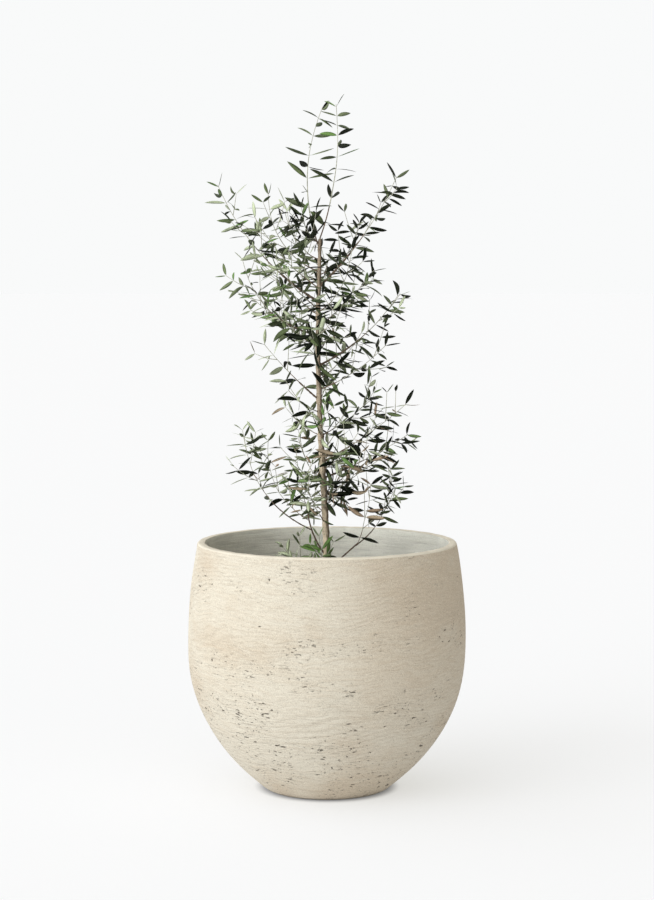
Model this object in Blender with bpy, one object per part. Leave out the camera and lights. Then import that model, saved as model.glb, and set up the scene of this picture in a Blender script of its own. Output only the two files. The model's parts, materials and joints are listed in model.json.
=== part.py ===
"""A young olive tree standing in a round-bellied planter, at its real size.

Metres, +Z up. The origin is the middle of the planter's flat underside, +X is to the
right and +Y away from the front. The planter holds its soil, the trunk stands on the
soil by a flat cut, boughs leave the trunk, and each shoot of leaves is one solid whose
stem carries on from a bough's tip or from the trunk's side.
"""

import math
import random
from collections import namedtuple

import bmesh
import bpy
import numpy as np
from mathutils import Vector

GAP = 0.0003  # clearance between solids that touch on the real tree

# ---- planter ----
POT_HEIGHT = 0.497
RIM_RADIUS = 0.2585
BELLY_RADIUS = 0.278
BELLY_HEIGHT = 0.300
FOOT_RADIUS = 0.1225
UPPER_BEND = 1.94  # exponent of the curve from the belly up to the rim
LOWER_BEND = 2.42  # exponent of the curve from the belly down to the foot
WALL = 0.015
FLOOR = 0.022
RIM_ROUND = 0.005
FOOT_ROUND = 0.003
SMOOTH_BELOW = math.radians(40)  # angle between faces that shade as one
POT_SIDES = 36
POT_RINGS = 7  # rings of the wall, outside and inside

# ---- soil ----
SOIL_LEVEL = 0.405
SOIL_MOUND_RADIUS = 0.13
SOIL_EDGE_DROP = 0.008

# ---- trunk ----
TRUNK_TOP = 1.100
TRUNK_COURSE = (  # height, x, y: a slight lean to the left with a little sway
    (SOIL_LEVEL, 0.001, 0.000),
    (0.560, -0.004, 0.002),
    (0.720, -0.013, -0.002),
    (0.900, -0.018, 0.002),
    (TRUNK_TOP, -0.014, 0.000),
)
TRUNK_RADIUS_LOW = 0.0070
TRUNK_RADIUS_TOP = 0.0031
ROOT_FLARE = 0.0050
ROOT_FLARE_HEIGHT = 0.018
FLARE_RINGS = (0.6, 1.6)  # shares of the flare's height
TRUNK_SIDES = 10
TRUNK_RINGS = 13

# ---- boughs and stems ----
FOOT_RADIUS_LEAST = 0.0013
FOOT_RADIUS_PER_METRE = 0.0040
BRANCH_SHARE = 0.9  # of its parent's radius that a limb's foot may have at most
BARE_TAPER = 0.8  # tip radius of a limb that only carries others, as a share of its foot
TIP_RADIUS = 0.0009
METRES_PER_RING = 0.05
BOUGH_SIDES = 6
STEM_SIDES = 3
CUTTER_SIDES = 24
CUTTER_BELOW = 0.03  # how far a cutter of the trunk reaches under and over a limb's foot
CUTTER_ABOVE = 0.05
CUTTER_RINGS = 14
PATH_STEPS = 40  # points that a limb's curve is measured on

# ---- side twigs ----
TWIG_LENGTH = 0.050
TWIG_LENGTHS = (0.7, 1.15)  # shares of it
TWIG_SPREAD = math.radians(48)
TWIG_LIFT = 0.25  # of its length that a twig's tip turns up
TWIG_RADIUS = 0.0010
TWIG_PAIRS = 2
TWIG_BARE = 0.5
TWIG_LEAF_SIZE = 0.85
LAST_TWIG = 0.86  # share of a stem before which its twigs leave

# ---- leaves ----
LEAF_LENGTH = 0.053
LEAF_LENGTHS = (0.85, 1.12)  # shares of it
LEAF_WIDTH = 0.32  # of its length
LEAF_THICKNESS = 0.030  # of its length
LEAF_WIDEST = 0.45  # where along its length
LEAF_SPREAD = math.radians(66)  # between a leaf and the stem's tip
LEAF_SPREADS = (0.8, 1.2)  # shares of it
LEAF_SAG = 0.25  # of its length, at most
LEAF_SINK = 0.0005  # how far a leaf's root goes past the middle of its stem
LEAF_TWIST = 0.3  # radians off a pair's own plane
FACE_TO_TIP = 0.4  # how much a leaf's upper side looks along the stem
FACE_UP = 0.4  # and up
FACE_SCATTER = 0.5
FIRST_PAIR = 0.11  # share of a stem before its first leaves
LAST_PAIR = 0.99
YOUNG_SHRINK = 0.35  # of a leaf's length towards the stem's tip
BUD_SIZE = 0.62  # of the last pair
BUD_SPREAD = math.radians(22)
PAIR_TURN = math.pi / 2
PAIR_TURN_SCATTER = 0.25

# ---- clearances of the foliage ----
LIMB_CLEARANCE = 0.0012
OWN_SPACE_MARGIN = 0.0006
LEAF_CLEARANCE = 0.0036
POT_CLEARANCE = 0.004
STEM_SAMPLES = 24
TRUNK_SAMPLES = 180

# ---- cleaning of joined solids ----
MERGE_DISTANCE = 2e-7  # of the slivers that a Boolean leaves
FLAT_ANGLE = math.radians(0.5)  # between faces that become one

# One row for each limb. It leaves its parent (the trunk at a height in metres, or
# another bough at a share of its course), heads to the turn in degrees seen from above
# (0 is +X, 90 is the back), and its tip lies at the reach and the rise from there. Bow
# is how far the curve's handle lies outwards of the straight way, as a share of it. The
# bare share is the bough, and the rest carries the pairs of leaves and the side twigs.
Limb = namedtuple("Limb", "name parent at turn reach rise bow bare pairs twigs")
LIMBS = [
    Limb("leader_right", "trunk", TRUNK_TOP, -21, 0.034, 0.262, 0.12, 0.00, 10, 0),
    Limb("leader_left", "trunk", 1.078, 172, -0.006, 0.280, 0.20, 0.00, 10, 0),
    Limb("crown_tuft", "trunk", 1.089, 221, 0.046, 0.056, 0.23, 0.00, 6, 1),
    Limb("upper_left_long", "trunk", 0.975, 172, 0.202, 0.231, 0.16, 0.30, 9, 2),
    Limb("upper_left_inner", "trunk", 1.034, 205, 0.110, 0.156, 0.34, 0.00, 7, 2),
    Limb("upper_left_back", "trunk", 1.058, 135, 0.098, 0.096, 0.28, 0.00, 6, 2),
    Limb("upper_left_front", "trunk", 1.002, 222, 0.167, 0.140, 0.12, 0.00, 7, 2),
    Limb("left_reach", "trunk", 0.909, 192, 0.152, 0.152, 0.32, 0.30, 7, 2),
    Limb("left_low", "trunk", 0.883, 161, 0.148, 0.106, 0.04, 0.00, 7, 2),
    Limb("left_back", "trunk", 0.949, 129, 0.164, 0.104, 0.10, 0.00, 7, 2),
    Limb("left_front", "trunk", 0.962, 240, 0.163, 0.101, 0.12, 0.00, 7, 2),
    Limb("left_front_low", "trunk", 0.889, 230, 0.146, 0.084, 0.10, 0.00, 6, 2),
    Limb("left_back_low", "trunk", 0.895, 136, 0.150, 0.049, 0.10, 0.00, 6, 2),
    Limb("upper_right_long", "trunk", 1.004, -11, 0.156, 0.217, 0.10, 0.36, 8, 2),
    Limb("upper_right_inner", "trunk", 1.028, 36, 0.101, 0.105, 0.28, 0.00, 6, 2),
    Limb("upper_right_front", "trunk", 0.955, -54, 0.113, 0.126, 0.28, 0.00, 6, 2),
    Limb("upper_right_side", "trunk", 0.923, 19, 0.118, 0.114, 0.06, 0.00, 6, 2),
    Limb("upper_back", "trunk", 0.992, 80, 0.126, 0.079, 0.14, 0.00, 6, 2),
    Limb("right_reach", "trunk", 0.848, 7, 0.160, 0.140, 0.14, 0.40, 6, 2),
    Limb("right_mid", "trunk", 0.800, -13, 0.136, 0.091, 0.11, 0.00, 7, 2),
    Limb("right_back", "trunk", 0.820, 54, 0.149, 0.091, 0.10, 0.00, 7, 2),
    Limb("right_front", "trunk", 0.876, -70, 0.140, 0.098, 0.12, 0.00, 7, 2),
    Limb("front_whorl", "trunk", 0.844, -96, 0.126, 0.095, 0.12, 0.00, 7, 2),
    Limb("mid_left", "trunk", 0.780, 185, 0.110, 0.112, 0.05, 0.34, 5, 1),
    Limb("mid_left_front", "trunk", 0.756, 232, 0.100, 0.049, 0.12, 0.00, 6, 2),
    Limb("mid_left_back", "trunk", 0.710, 124, 0.098, 0.036, 0.12, 0.00, 6, 2),
    Limb("mid_back", "trunk", 0.780, 78, 0.124, 0.058, 0.12, 0.00, 6, 2),
    Limb("mid_front", "trunk", 0.700, -83, 0.069, 0.076, 0.16, 0.00, 5, 2),
    Limb("low_right_high", "trunk", 0.708, 30, 0.124, 0.076, 0.08, 0.00, 7, 2),
    Limb("low_right_long", "trunk", 0.656, -3, 0.167, 0.117, 0.06, 0.30, 7, 2),
    Limb("low_right_side", "trunk", 0.624, 19, 0.181, 0.083, 0.06, 0.30, 7, 2),
    Limb("low_right_whorl", "trunk", 0.640, -60, 0.138, 0.085, 0.10, 0.00, 7, 2),
    Limb("low_right_hang", "trunk", 0.592, -37, 0.118, 0.074, 0.10, 0.00, 7, 2),
    Limb("low_front", "trunk", 0.572, -78, 0.118, 0.071, 0.10, 0.00, 6, 2),
    Limb("low_back", "trunk", 0.640, 84, 0.124, 0.063, 0.12, 0.00, 6, 2),
    Limb("low_back_right", "trunk", 0.570, 62, 0.128, 0.051, 0.12, 0.00, 6, 2),
    Limb("low_back_left", "trunk", 0.552, 119, 0.113, 0.067, 0.12, 0.00, 6, 2),
    Limb("low_left_stem", "trunk", 0.532, 238, 0.081, 0.099, 0.10, 0.00, 6, 2),
    Limb("low_left_high", "trunk", 0.606, 150, 0.056, 0.088, 0.12, 0.00, 5, 1),
    Limb("foot_right", "trunk", 0.440, 0, 0.062, 0.054, 0.02, 1.00, 0, 0),
    Limb("foot_right_inner", "foot_right", 1.00, -58, 0.047, 0.123, 0.10, 0.00, 7, 3),
    Limb("foot_right_outer", "foot_right", 0.86, 34, 0.090, 0.154, 0.34, 0.30, 8, 3),
    Limb("foot_left", "trunk", 0.466, 196, 0.039, 0.087, 0.14, 1.00, 0, 0),
    Limb("foot_left_upright", "foot_left", 1.00, 222, 0.032, 0.130, 0.04, 0.00, 7, 2),
    Limb("foot_left_outer", "foot_left", 0.86, 160, 0.087, 0.162, 0.34, 0.00, 8, 3),
    Limb("foot_left_far", "foot_left", 0.66, 195, 0.138, 0.191, 0.28, 0.40, 8, 3),
    Limb("sprout_left", "trunk", 0.424, 208, 0.100, 0.068, 0.16, 0.00, 4, 1),
    Limb("sprout_near", "trunk", 0.430, -108, 0.052, 0.084, 0.12, 0.00, 4, 1),
]


# ---- materials ----


def principled(name, colour, roughness, metallic=0.0):
    """A plain Principled BSDF of that colour."""
    material = bpy.data.materials.new(name)
    material.use_nodes = True
    shader = material.node_tree.nodes["Principled BSDF"]
    shader.inputs["Base Color"].default_value = (*colour, 1.0)
    shader.inputs["Roughness"].default_value = roughness
    shader.inputs["Metallic"].default_value = metallic
    return material


def make_materials():
    return {
        "stone": principled("travertine_stone", (0.74, 0.68, 0.57), 0.85),
        "soil": principled("potting_soil", (0.07, 0.05, 0.035), 0.95),
        "bark": principled("olive_bark", (0.33, 0.25, 0.18), 0.80),
        "leaf": principled("olive_leaf", (0.13, 0.19, 0.10), 0.55),
    }


# ---- solids ----


def clear_scene():
    for old in list(bpy.data.objects):
        bpy.data.objects.remove(old)


def object_from(name, points, faces, material=None):
    """A mesh object from points and faces, at the origin."""
    mesh = bpy.data.meshes.new(name)
    mesh.from_pydata([tuple(p) for p in points], [], faces)
    mesh.update()
    made = bpy.data.objects.new(name, mesh)
    bpy.context.scene.collection.objects.link(made)
    if material:
        mesh.materials.append(material)
    return made


def turned(name, profile, sides, material):
    """The solid that a profile of (radius, height) from axis to axis sweeps round Z."""
    shape = bmesh.new()
    line = [shape.verts.new((radius, 0.0, height)) for radius, height in profile]
    edges = [shape.edges.new(pair) for pair in zip(line, line[1:])]
    bmesh.ops.spin(
        shape, geom=line + edges, cent=(0, 0, 0), axis=(0, 0, 1), angle=math.tau, steps=sides
    )
    bmesh.ops.remove_doubles(shape, verts=shape.verts, dist=1e-6)
    bmesh.ops.recalc_face_normals(shape, faces=shape.faces)
    mesh = bpy.data.meshes.new(name)
    shape.to_mesh(mesh)
    shape.free()
    mesh.materials.append(material)
    mesh.shade_smooth()
    mesh.set_sharp_from_angle(angle=SMOOTH_BELOW)
    made = bpy.data.objects.new(name, mesh)
    bpy.context.scene.collection.objects.link(made)
    return made


def crosswise(tangent):
    """Two unit vectors square to the tangent and to each other."""
    helper = Vector((0, 0, 1)) if abs(tangent.z) < 0.9 else Vector((1, 0, 0))
    side = tangent.cross(helper).normalized()
    return side, tangent.cross(side).normalized()


def tube(name, points, radii, sides, material=None):
    """A round limb along the points, closed by a flat cut at each end."""
    points = [Vector(p) for p in points]
    rings = []
    side, _ = crosswise((points[1] - points[0]).normalized())
    for i, point in enumerate(points):
        before, after = points[max(i - 1, 0)], points[min(i + 1, len(points) - 1)]
        tangent = (after - before).normalized()
        side = (side - tangent * side.dot(tangent)).normalized()
        other = tangent.cross(side)
        for k in range(sides):
            angle = math.tau * k / sides
            rings.append(point + (side * math.cos(angle) + other * math.sin(angle)) * radii[i])
    faces = [tuple(reversed(range(sides)))]
    for ring in range(0, (len(points) - 1) * sides, sides):
        for k in range(sides):
            left, right = ring + k, ring + (k + 1) % sides
            faces.append((left, right, right + sides, left + sides))
    faces.append(tuple(range(ring + sides, ring + 2 * sides)))
    made = object_from(name, rings, faces, material)
    made.data.shade_smooth()
    return made


# ---- planter and soil ----


def outer_radius(height):
    """The planter's outside: a power curve up from the belly and another one down."""
    if height > BELLY_HEIGHT:
        share = (height - BELLY_HEIGHT) / (POT_HEIGHT - BELLY_HEIGHT)
        return BELLY_RADIUS - (BELLY_RADIUS - RIM_RADIUS) * share**UPPER_BEND
    share = (BELLY_HEIGHT - height) / BELLY_HEIGHT
    return BELLY_RADIUS - (BELLY_RADIUS - FOOT_RADIUS) * share**LOWER_BEND


def inner_radius(height, inset=WALL):
    """The wall's inside: the outer curve moved in square to itself."""
    step = 0.002
    slope = (outer_radius(height + step) - outer_radius(max(height - step, 0))) / (2 * step)
    return outer_radius(height) - inset * math.hypot(1, slope)


def make_planter(material):
    heights = np.linspace(FOOT_ROUND, POT_HEIGHT - RIM_ROUND, POT_RINGS + 2)
    outside = [(0.0, 0.0), (FOOT_RADIUS - FOOT_ROUND, 0.0)]
    outside += [(outer_radius(z), z) for z in heights]
    rim = [
        (RIM_RADIUS - RIM_ROUND * 0.35, POT_HEIGHT - RIM_ROUND * 0.25),
        (RIM_RADIUS - RIM_ROUND, POT_HEIGHT),
        (inner_radius(POT_HEIGHT), POT_HEIGHT),
    ]
    inside = [(inner_radius(z), z) for z in np.linspace(POT_HEIGHT, FLOOR, POT_RINGS)[1:]]
    return turned("planter", outside + rim + inside + [(0.0, FLOOR)], POT_SIDES, material)


def make_soil(material):
    """The soil fills the planter up to its level, a gap away from wall and floor."""
    bottom = FLOOR + GAP
    edge = SOIL_LEVEL - SOIL_EDGE_DROP
    inset = WALL + 2 * GAP
    wall = [h for h in np.linspace(POT_HEIGHT, FLOOR, POT_RINGS)[::-1] if bottom < h < edge]
    profile = [(0.0, bottom)]
    profile += [(inner_radius(z, inset), z) for z in [bottom, *wall, edge]]
    profile += [(SOIL_MOUND_RADIUS, SOIL_LEVEL), (0.0, SOIL_LEVEL)]
    return turned("soil", profile, POT_SIDES, material)


# ---- courses of the limbs ----


def trunk_point(height):
    """The trunk's middle at a height: a smooth curve through the named course."""
    heights = [row[0] for row in TRUNK_COURSE]
    i = min(max(int(np.searchsorted(heights, height)) - 1, 0), len(heights) - 2)
    share = (height - heights[i]) / (heights[i + 1] - heights[i])
    before, start = TRUNK_COURSE[max(i - 1, 0)], TRUNK_COURSE[i]
    end, after = TRUNK_COURSE[i + 1], TRUNK_COURSE[min(i + 2, len(heights) - 1)]
    place = []
    for k in (1, 2):
        slope_in, slope_out = (end[k] - before[k]) / 2, (after[k] - start[k]) / 2
        place.append(
            start[k] * (1 + 2 * share) * (1 - share) ** 2
            + end[k] * share**2 * (3 - 2 * share)
            + slope_in * share * (1 - share) ** 2
            - slope_out * share**2 * (1 - share)
        )
    return Vector((*place, height))


def trunk_radius(height):
    share = (height - SOIL_LEVEL) / (TRUNK_TOP - SOIL_LEVEL)
    flare = ROOT_FLARE * math.exp(-(height - SOIL_LEVEL) / ROOT_FLARE_HEIGHT)
    return TRUNK_RADIUS_LOW + (TRUNK_RADIUS_TOP - TRUNK_RADIUS_LOW) * share + flare


def limb_curve(foot, limb):
    """Points from foot to tip: a quadratic curve whose handle is bowed outwards and down."""
    turn = math.radians(limb.turn)
    outward = Vector((math.cos(turn), math.sin(turn), 0))
    up = Vector((0, 0, 1))
    tip = foot + outward * limb.reach + up * limb.rise
    handle = foot.lerp(tip, 0.5) + (outward * limb.rise - up * limb.reach) * limb.bow
    shares = np.linspace(0, 1, PATH_STEPS + 1)
    return [foot * (1 - s) ** 2 + handle * 2 * s * (1 - s) + tip * s**2 for s in shares]


def along(points, share):
    """The point and the unit tangent at a share of the course."""
    place = share * (len(points) - 1)
    i = min(int(place), len(points) - 2)
    tangent = (points[i + 1] - points[i]).normalized()
    return points[i].lerp(points[i + 1], place - i), tangent


def part_of(points, start, end, rings):
    return [along(points, s)[0] for s in np.linspace(start, end, rings)]


class Course:
    """Where a limb runs and how thick it is along the way."""

    def __init__(self, limb, courses):
        self.limb = limb
        if limb.parent == "trunk":
            foot = trunk_point(limb.at)
        else:
            foot = along(courses[limb.parent].points, limb.at)[0]
        self.points = limb_curve(foot, limb)
        pairs = zip(self.points, self.points[1:])
        self.length = sum((b - a).length for a, b in pairs)
        self.foot_radius = FOOT_RADIUS_LEAST + FOOT_RADIUS_PER_METRE * self.length
        if limb.parent != "trunk":
            thickest = courses[limb.parent].radius(limb.at) * BRANCH_SHARE
            self.foot_radius = min(self.foot_radius, thickest)
        self.tip_radius = TIP_RADIUS if limb.pairs else self.foot_radius * BARE_TAPER

    def radius(self, share):
        return self.foot_radius + (self.tip_radius - self.foot_radius) * share

    def rings(self, start, end):
        return max(2, 1 + round((end - start) * self.length / METRES_PER_RING))


# ---- joining and cutting ----


def apply_boolean(target, operation, others, solver):
    """The mesh of the target after one Boolean with a collection of the others."""
    group = bpy.data.collections.new("operands")
    bpy.context.scene.collection.children.link(group)
    for other in others:
        bpy.context.scene.collection.objects.unlink(other)
        group.objects.link(other)
    modifier = target.modifiers.new("join", "BOOLEAN")
    modifier.operation = operation
    modifier.operand_type = "COLLECTION"
    modifier.collection = group
    modifier.solver = solver
    graph = bpy.context.evaluated_depsgraph_get()
    mesh = bpy.data.meshes.new_from_object(target.evaluated_get(graph))
    target.modifiers.remove(modifier)
    for other in others:
        group.objects.unlink(other)
        bpy.context.scene.collection.objects.link(other)
    bpy.data.collections.remove(group)
    return mesh


def is_closed(shape):
    return len(shape.faces) > 0 and all(len(edge.link_faces) == 2 for edge in shape.edges)


def keep_largest_island(shape):
    """Drops loose scraps and sealed hollows, and keeps the biggest connected surface."""
    unseen, islands = set(shape.verts), []
    while unseen:
        todo = [unseen.pop()]
        island = set(todo)
        while todo:
            for edge in todo.pop().link_edges:
                for vert in edge.verts:
                    if vert in unseen:
                        unseen.discard(vert)
                        island.add(vert)
                        todo.append(vert)
        islands.append(island)
    keep = max(islands, key=len)
    bmesh.ops.delete(shape, geom=[v for v in shape.verts if v not in keep], context="VERTS")


def cleaned(mesh):
    """The mesh as one closed body with its slivers merged away, or None if it is open."""
    for merge in (MERGE_DISTANCE, 0.0):
        shape = bmesh.new()
        shape.from_mesh(mesh)
        if merge:
            bmesh.ops.remove_doubles(shape, verts=shape.verts, dist=merge)
            bmesh.ops.dissolve_degenerate(shape, dist=merge, edges=shape.edges)
        keep_largest_island(shape)
        bmesh.ops.triangulate(shape, faces=shape.faces)
        if merge:
            bmesh.ops.dissolve_limit(
                shape, angle_limit=FLAT_ANGLE, verts=shape.verts, edges=shape.edges
            )
            bmesh.ops.triangulate(shape, faces=shape.faces)
        if is_closed(shape):
            found = bpy.data.meshes.new(mesh.name)
            shape.to_mesh(found)
            shape.free()
            for material in mesh.materials:
                found.materials.append(material)
            return found
        shape.free()
    return None


def boolean(target, operation, others):
    """Joins or cuts the target and removes the others, by MANIFOLD where EXACT fails."""
    for solver in ("EXACT", "MANIFOLD"):
        mesh = cleaned(apply_boolean(target, operation, others, solver))
        if mesh:
            before = target.data
            target.data = mesh
            bpy.data.meshes.remove(before)
            for other in others:
                bpy.data.objects.remove(other)
            return True
    return False


def parent_cutter(course, courses):
    """The parent limb, a gap thicker and longer, which cuts a limb's foot to its side."""
    if course.limb.parent == "trunk":
        low, high = course.limb.at - CUTTER_BELOW, min(course.limb.at + CUTTER_ABOVE, TRUNK_TOP)
        heights = np.linspace(low, high, CUTTER_RINGS)
        points = [trunk_point(z) for z in heights]
        radii = [trunk_radius(z) + GAP for z in heights]
    else:
        parent = courses[course.limb.parent]
        shares = np.linspace(0, parent.limb.bare, CUTTER_RINGS)
        points = [along(parent.points, s)[0] for s in shares]
        radii = [parent.radius(s) + GAP for s in shares]
    beyond = (points[-1] - points[-2]).normalized()
    points.append(points[-1] + beyond * GAP)
    radii.append(radii[-1])
    return tube("cutter", points, radii, CUTTER_SIDES)


# ---- leaves and twigs ----


def leaf_points(root, heading, face, length):
    """The six corners of a leaf: root, tip, both edges, and the ridge over and under it."""
    side = heading.cross(face).normalized()
    face = side.cross(heading).normalized()
    middle = root + heading * length * LEAF_WIDEST
    half, thick = side * length * LEAF_WIDTH / 2, face * length * LEAF_THICKNESS / 2
    tip = root + heading * length
    return [root, tip, middle + half, middle - half, middle + thick, middle - thick]


LEAF_FACES = [
    (0, 2, 4), (2, 1, 4), (1, 3, 4), (3, 0, 4),
    (2, 0, 5), (1, 2, 5), (3, 1, 5), (0, 3, 5),
]


def pair_of_leaves(dice, point, tangent, roll, spread, length):
    """Two opposite leaves on a stem: each one's corners. Older ones sag a little."""
    side, other = crosswise(tangent)
    found = []
    for turn in (roll, roll + math.pi):
        turn += dice.uniform(-LEAF_TWIST, LEAF_TWIST)
        across = side * math.cos(turn) + other * math.sin(turn)
        angle = spread * dice.uniform(*LEAF_SPREADS)
        heading = tangent * math.cos(angle) + across * math.sin(angle)
        heading.z -= dice.uniform(0.0, LEAF_SAG)
        heading.normalize()
        scatter = Vector([dice.gauss(0, FACE_SCATTER) for _ in range(3)])
        face = tangent * FACE_TO_TIP + Vector((0, 0, FACE_UP)) + scatter
        size = length * dice.uniform(*LEAF_LENGTHS)
        found.append(leaf_points(point - heading * LEAF_SINK, heading, face, size))
    return found


def shoot_leaves(dice, points, first, last, pairs, size):
    """The corners of every leaf on a stem. Each pair is a quarter turn from the one below."""
    found = []
    roll = dice.uniform(0, math.pi)
    for k in range(pairs):
        age = k / (pairs - 1)
        point, tangent = along(points, first + (last - first) * age)
        at_tip = k == pairs - 1
        spread = BUD_SPREAD if at_tip else LEAF_SPREAD
        length = LEAF_LENGTH * size * (BUD_SIZE if at_tip else 1 - YOUNG_SHRINK * age)
        found += pair_of_leaves(dice, point, tangent, roll, spread, length)
        roll += PAIR_TURN + dice.uniform(-PAIR_TURN_SCATTER, PAIR_TURN_SCATTER)
    return found


def side_twig(dice, point, tangent):
    """The points of a short twig that leaves a stem sideways and turns up."""
    side, other = crosswise(tangent)
    turn = dice.uniform(0, math.tau)
    across = side * math.cos(turn) + other * math.sin(turn)
    heading = tangent * math.cos(TWIG_SPREAD) + across * math.sin(TWIG_SPREAD)
    length = TWIG_LENGTH * dice.uniform(*TWIG_LENGTHS)
    lift = Vector((0, 0, TWIG_LIFT * length))
    return [point + heading * length * s + lift * s * s for s in (0, 0.5, 1)]


class Space:
    """The room of each shoot: a point belongs to the shoot whose stem is nearest to it."""

    def __init__(self, courses):
        heights = np.linspace(SOIL_LEVEL, TRUNK_TOP, TRUNK_SAMPLES)
        points = np.array([trunk_point(z) for z in heights])
        self.limbs = [(points, np.array([trunk_radius(z) for z in heights]))]
        self.stems = {}
        for name, course in courses.items():
            bare = course.limb.bare
            if course.limb.pairs:
                self.stems[name] = np.array(part_of(course.points, bare, 1, STEM_SAMPLES))
            if bare:
                points = np.array(part_of(course.points, 0, bare, STEM_SAMPLES))
                radii = [course.radius(s) for s in np.linspace(0, bare, STEM_SAMPLES)]
                self.limbs.append((points, np.array(radii)))

    def is_own(self, name, points):
        """Whether all the points are nearer to this stem than to any other."""
        points = np.array(points)[:, None]
        distance = {k: np.linalg.norm(points - s, axis=2).min(1) for k, s in self.stems.items()}
        own = distance.pop(name)
        others = np.min(list(distance.values()), axis=0)
        return bool((own + OWN_SPACE_MARGIN < others).all())

    def clears_limbs(self, points):
        points = np.array(points)[:, None]
        for samples, radii in self.limbs:
            distance = np.linalg.norm(points - samples, axis=2)
            if (distance < radii + LIMB_CLEARANCE).any():
                return False
        return True

    @staticmethod
    def clears_planter(points):
        for x, y, z in points:
            if z < SOIL_LEVEL + POT_CLEARANCE:
                return False
            if z < POT_HEIGHT + POT_CLEARANCE and math.hypot(x, y) > inner_radius(z) - POT_CLEARANCE:
                return False
        return True

    def takes(self, name, points):
        """Whether a leaf or twig keeps to the shoot's room and touches no limb or planter."""
        clear = self.clears_limbs(points) and self.clears_planter(points)
        return clear and self.is_own(name, points)


def leaf_probes(corners):
    """Points over a leaf, without the part sunk in its stem."""
    root, tip, left, right = corners[:4]
    edges = [end.lerp(side, 0.5) for end in (root, tip) for side in (left, right)]
    return list(corners[1:]) + edges + [root.lerp(tip, s) for s in (0.2, 0.7, 0.85)]


def crosses(probes, others):
    """Whether a leaf comes too near to one that is already on the shoot."""
    outer = np.array(probes)[:, None]
    return any(np.linalg.norm(outer - other, axis=2).min() < LEAF_CLEARANCE for other in others)


def make_foliage(course, courses, space, material):
    """One shoot: a stem, its side twigs and its leaves, joined into one solid."""
    limb = course.limb
    dice = random.Random(limb.name)
    start = limb.bare + (GAP / course.length if limb.bare else 0)
    rings = course.rings(start, 1) + 1
    points = part_of(course.points, start, 1, rings)
    radii = [course.radius(s) for s in np.linspace(start, 1, rings)]
    stem = tube("foliage_" + limb.name, points, radii, STEM_SIDES, material)

    first = max(limb.bare + FIRST_PAIR / 2, FIRST_PAIR)
    leaves = shoot_leaves(dice, course.points, first, LAST_PAIR, limb.pairs, 1.0)
    pieces = []
    for k in range(limb.twigs):
        share = first + (LAST_TWIG - first) * (k + 0.5) / limb.twigs
        twig = side_twig(dice, *along(course.points, share))
        twig_leaves = shoot_leaves(dice, twig, TWIG_BARE, LAST_PAIR, TWIG_PAIRS, TWIG_LEAF_SIZE)
        if space.takes(limb.name, twig[1:]):
            pieces.append(tube("twig", twig, [TWIG_RADIUS] * len(twig), STEM_SIDES))
            leaves += twig_leaves
    kept = []
    for corners in leaves:
        probes = leaf_probes(corners)
        if space.takes(limb.name, probes) and not crosses(probes, kept):
            pieces.append(object_from("leaf", corners, LEAF_FACES))
            kept.append(np.array(probes))
    while pieces and not boolean(stem, "UNION", pieces):
        bpy.data.objects.remove(pieces.pop())
    if not limb.bare:
        boolean(stem, "DIFFERENCE", [parent_cutter(course, courses)])


def make_bough(course, courses, material):
    """A tapering limb from its parent to where its leaves begin."""
    limb = course.limb
    rings = course.rings(0, limb.bare) + 1
    radii = [course.radius(s) for s in np.linspace(0, limb.bare, rings)]
    points = part_of(course.points, 0, limb.bare, rings)
    bough = tube("bough_" + limb.name, points, radii, BOUGH_SIDES, material)
    boolean(bough, "DIFFERENCE", [parent_cutter(course, courses)])


def make_trunk(material):
    """The trunk from its flat cut on the soil, with rings close together in the flare."""
    flare = [SOIL_LEVEL + GAP] + [SOIL_LEVEL + ROOT_FLARE_HEIGHT * s for s in FLARE_RINGS]
    heights = flare + list(np.linspace(flare[-1], TRUNK_TOP, TRUNK_RINGS)[1:])
    radii = [trunk_radius(z) for z in heights]
    return tube("trunk", [trunk_point(z) for z in heights], radii, TRUNK_SIDES, material)


def main():
    clear_scene()
    materials = make_materials()
    make_planter(materials["stone"])
    make_soil(materials["soil"])
    make_trunk(materials["bark"])
    courses = {}
    for limb in LIMBS:
        courses[limb.name] = Course(limb, courses)
    space = Space(courses)
    for course in courses.values():
        if course.limb.bare:
            make_bough(course, courses, materials["bark"])
        if course.limb.pairs:
            make_foliage(course, courses, space, materials["leaf"])


main()
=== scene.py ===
"""Looks of a young olive tree that stands in a round-bellied stone planter.

Metres, +Z up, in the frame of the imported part. The planter, its soil, the trunk and the
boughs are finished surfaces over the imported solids. The foliage grows on from the limbs
by the part's own rule, carried on to finer twigs and to leaves of their real size.
"""

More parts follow.
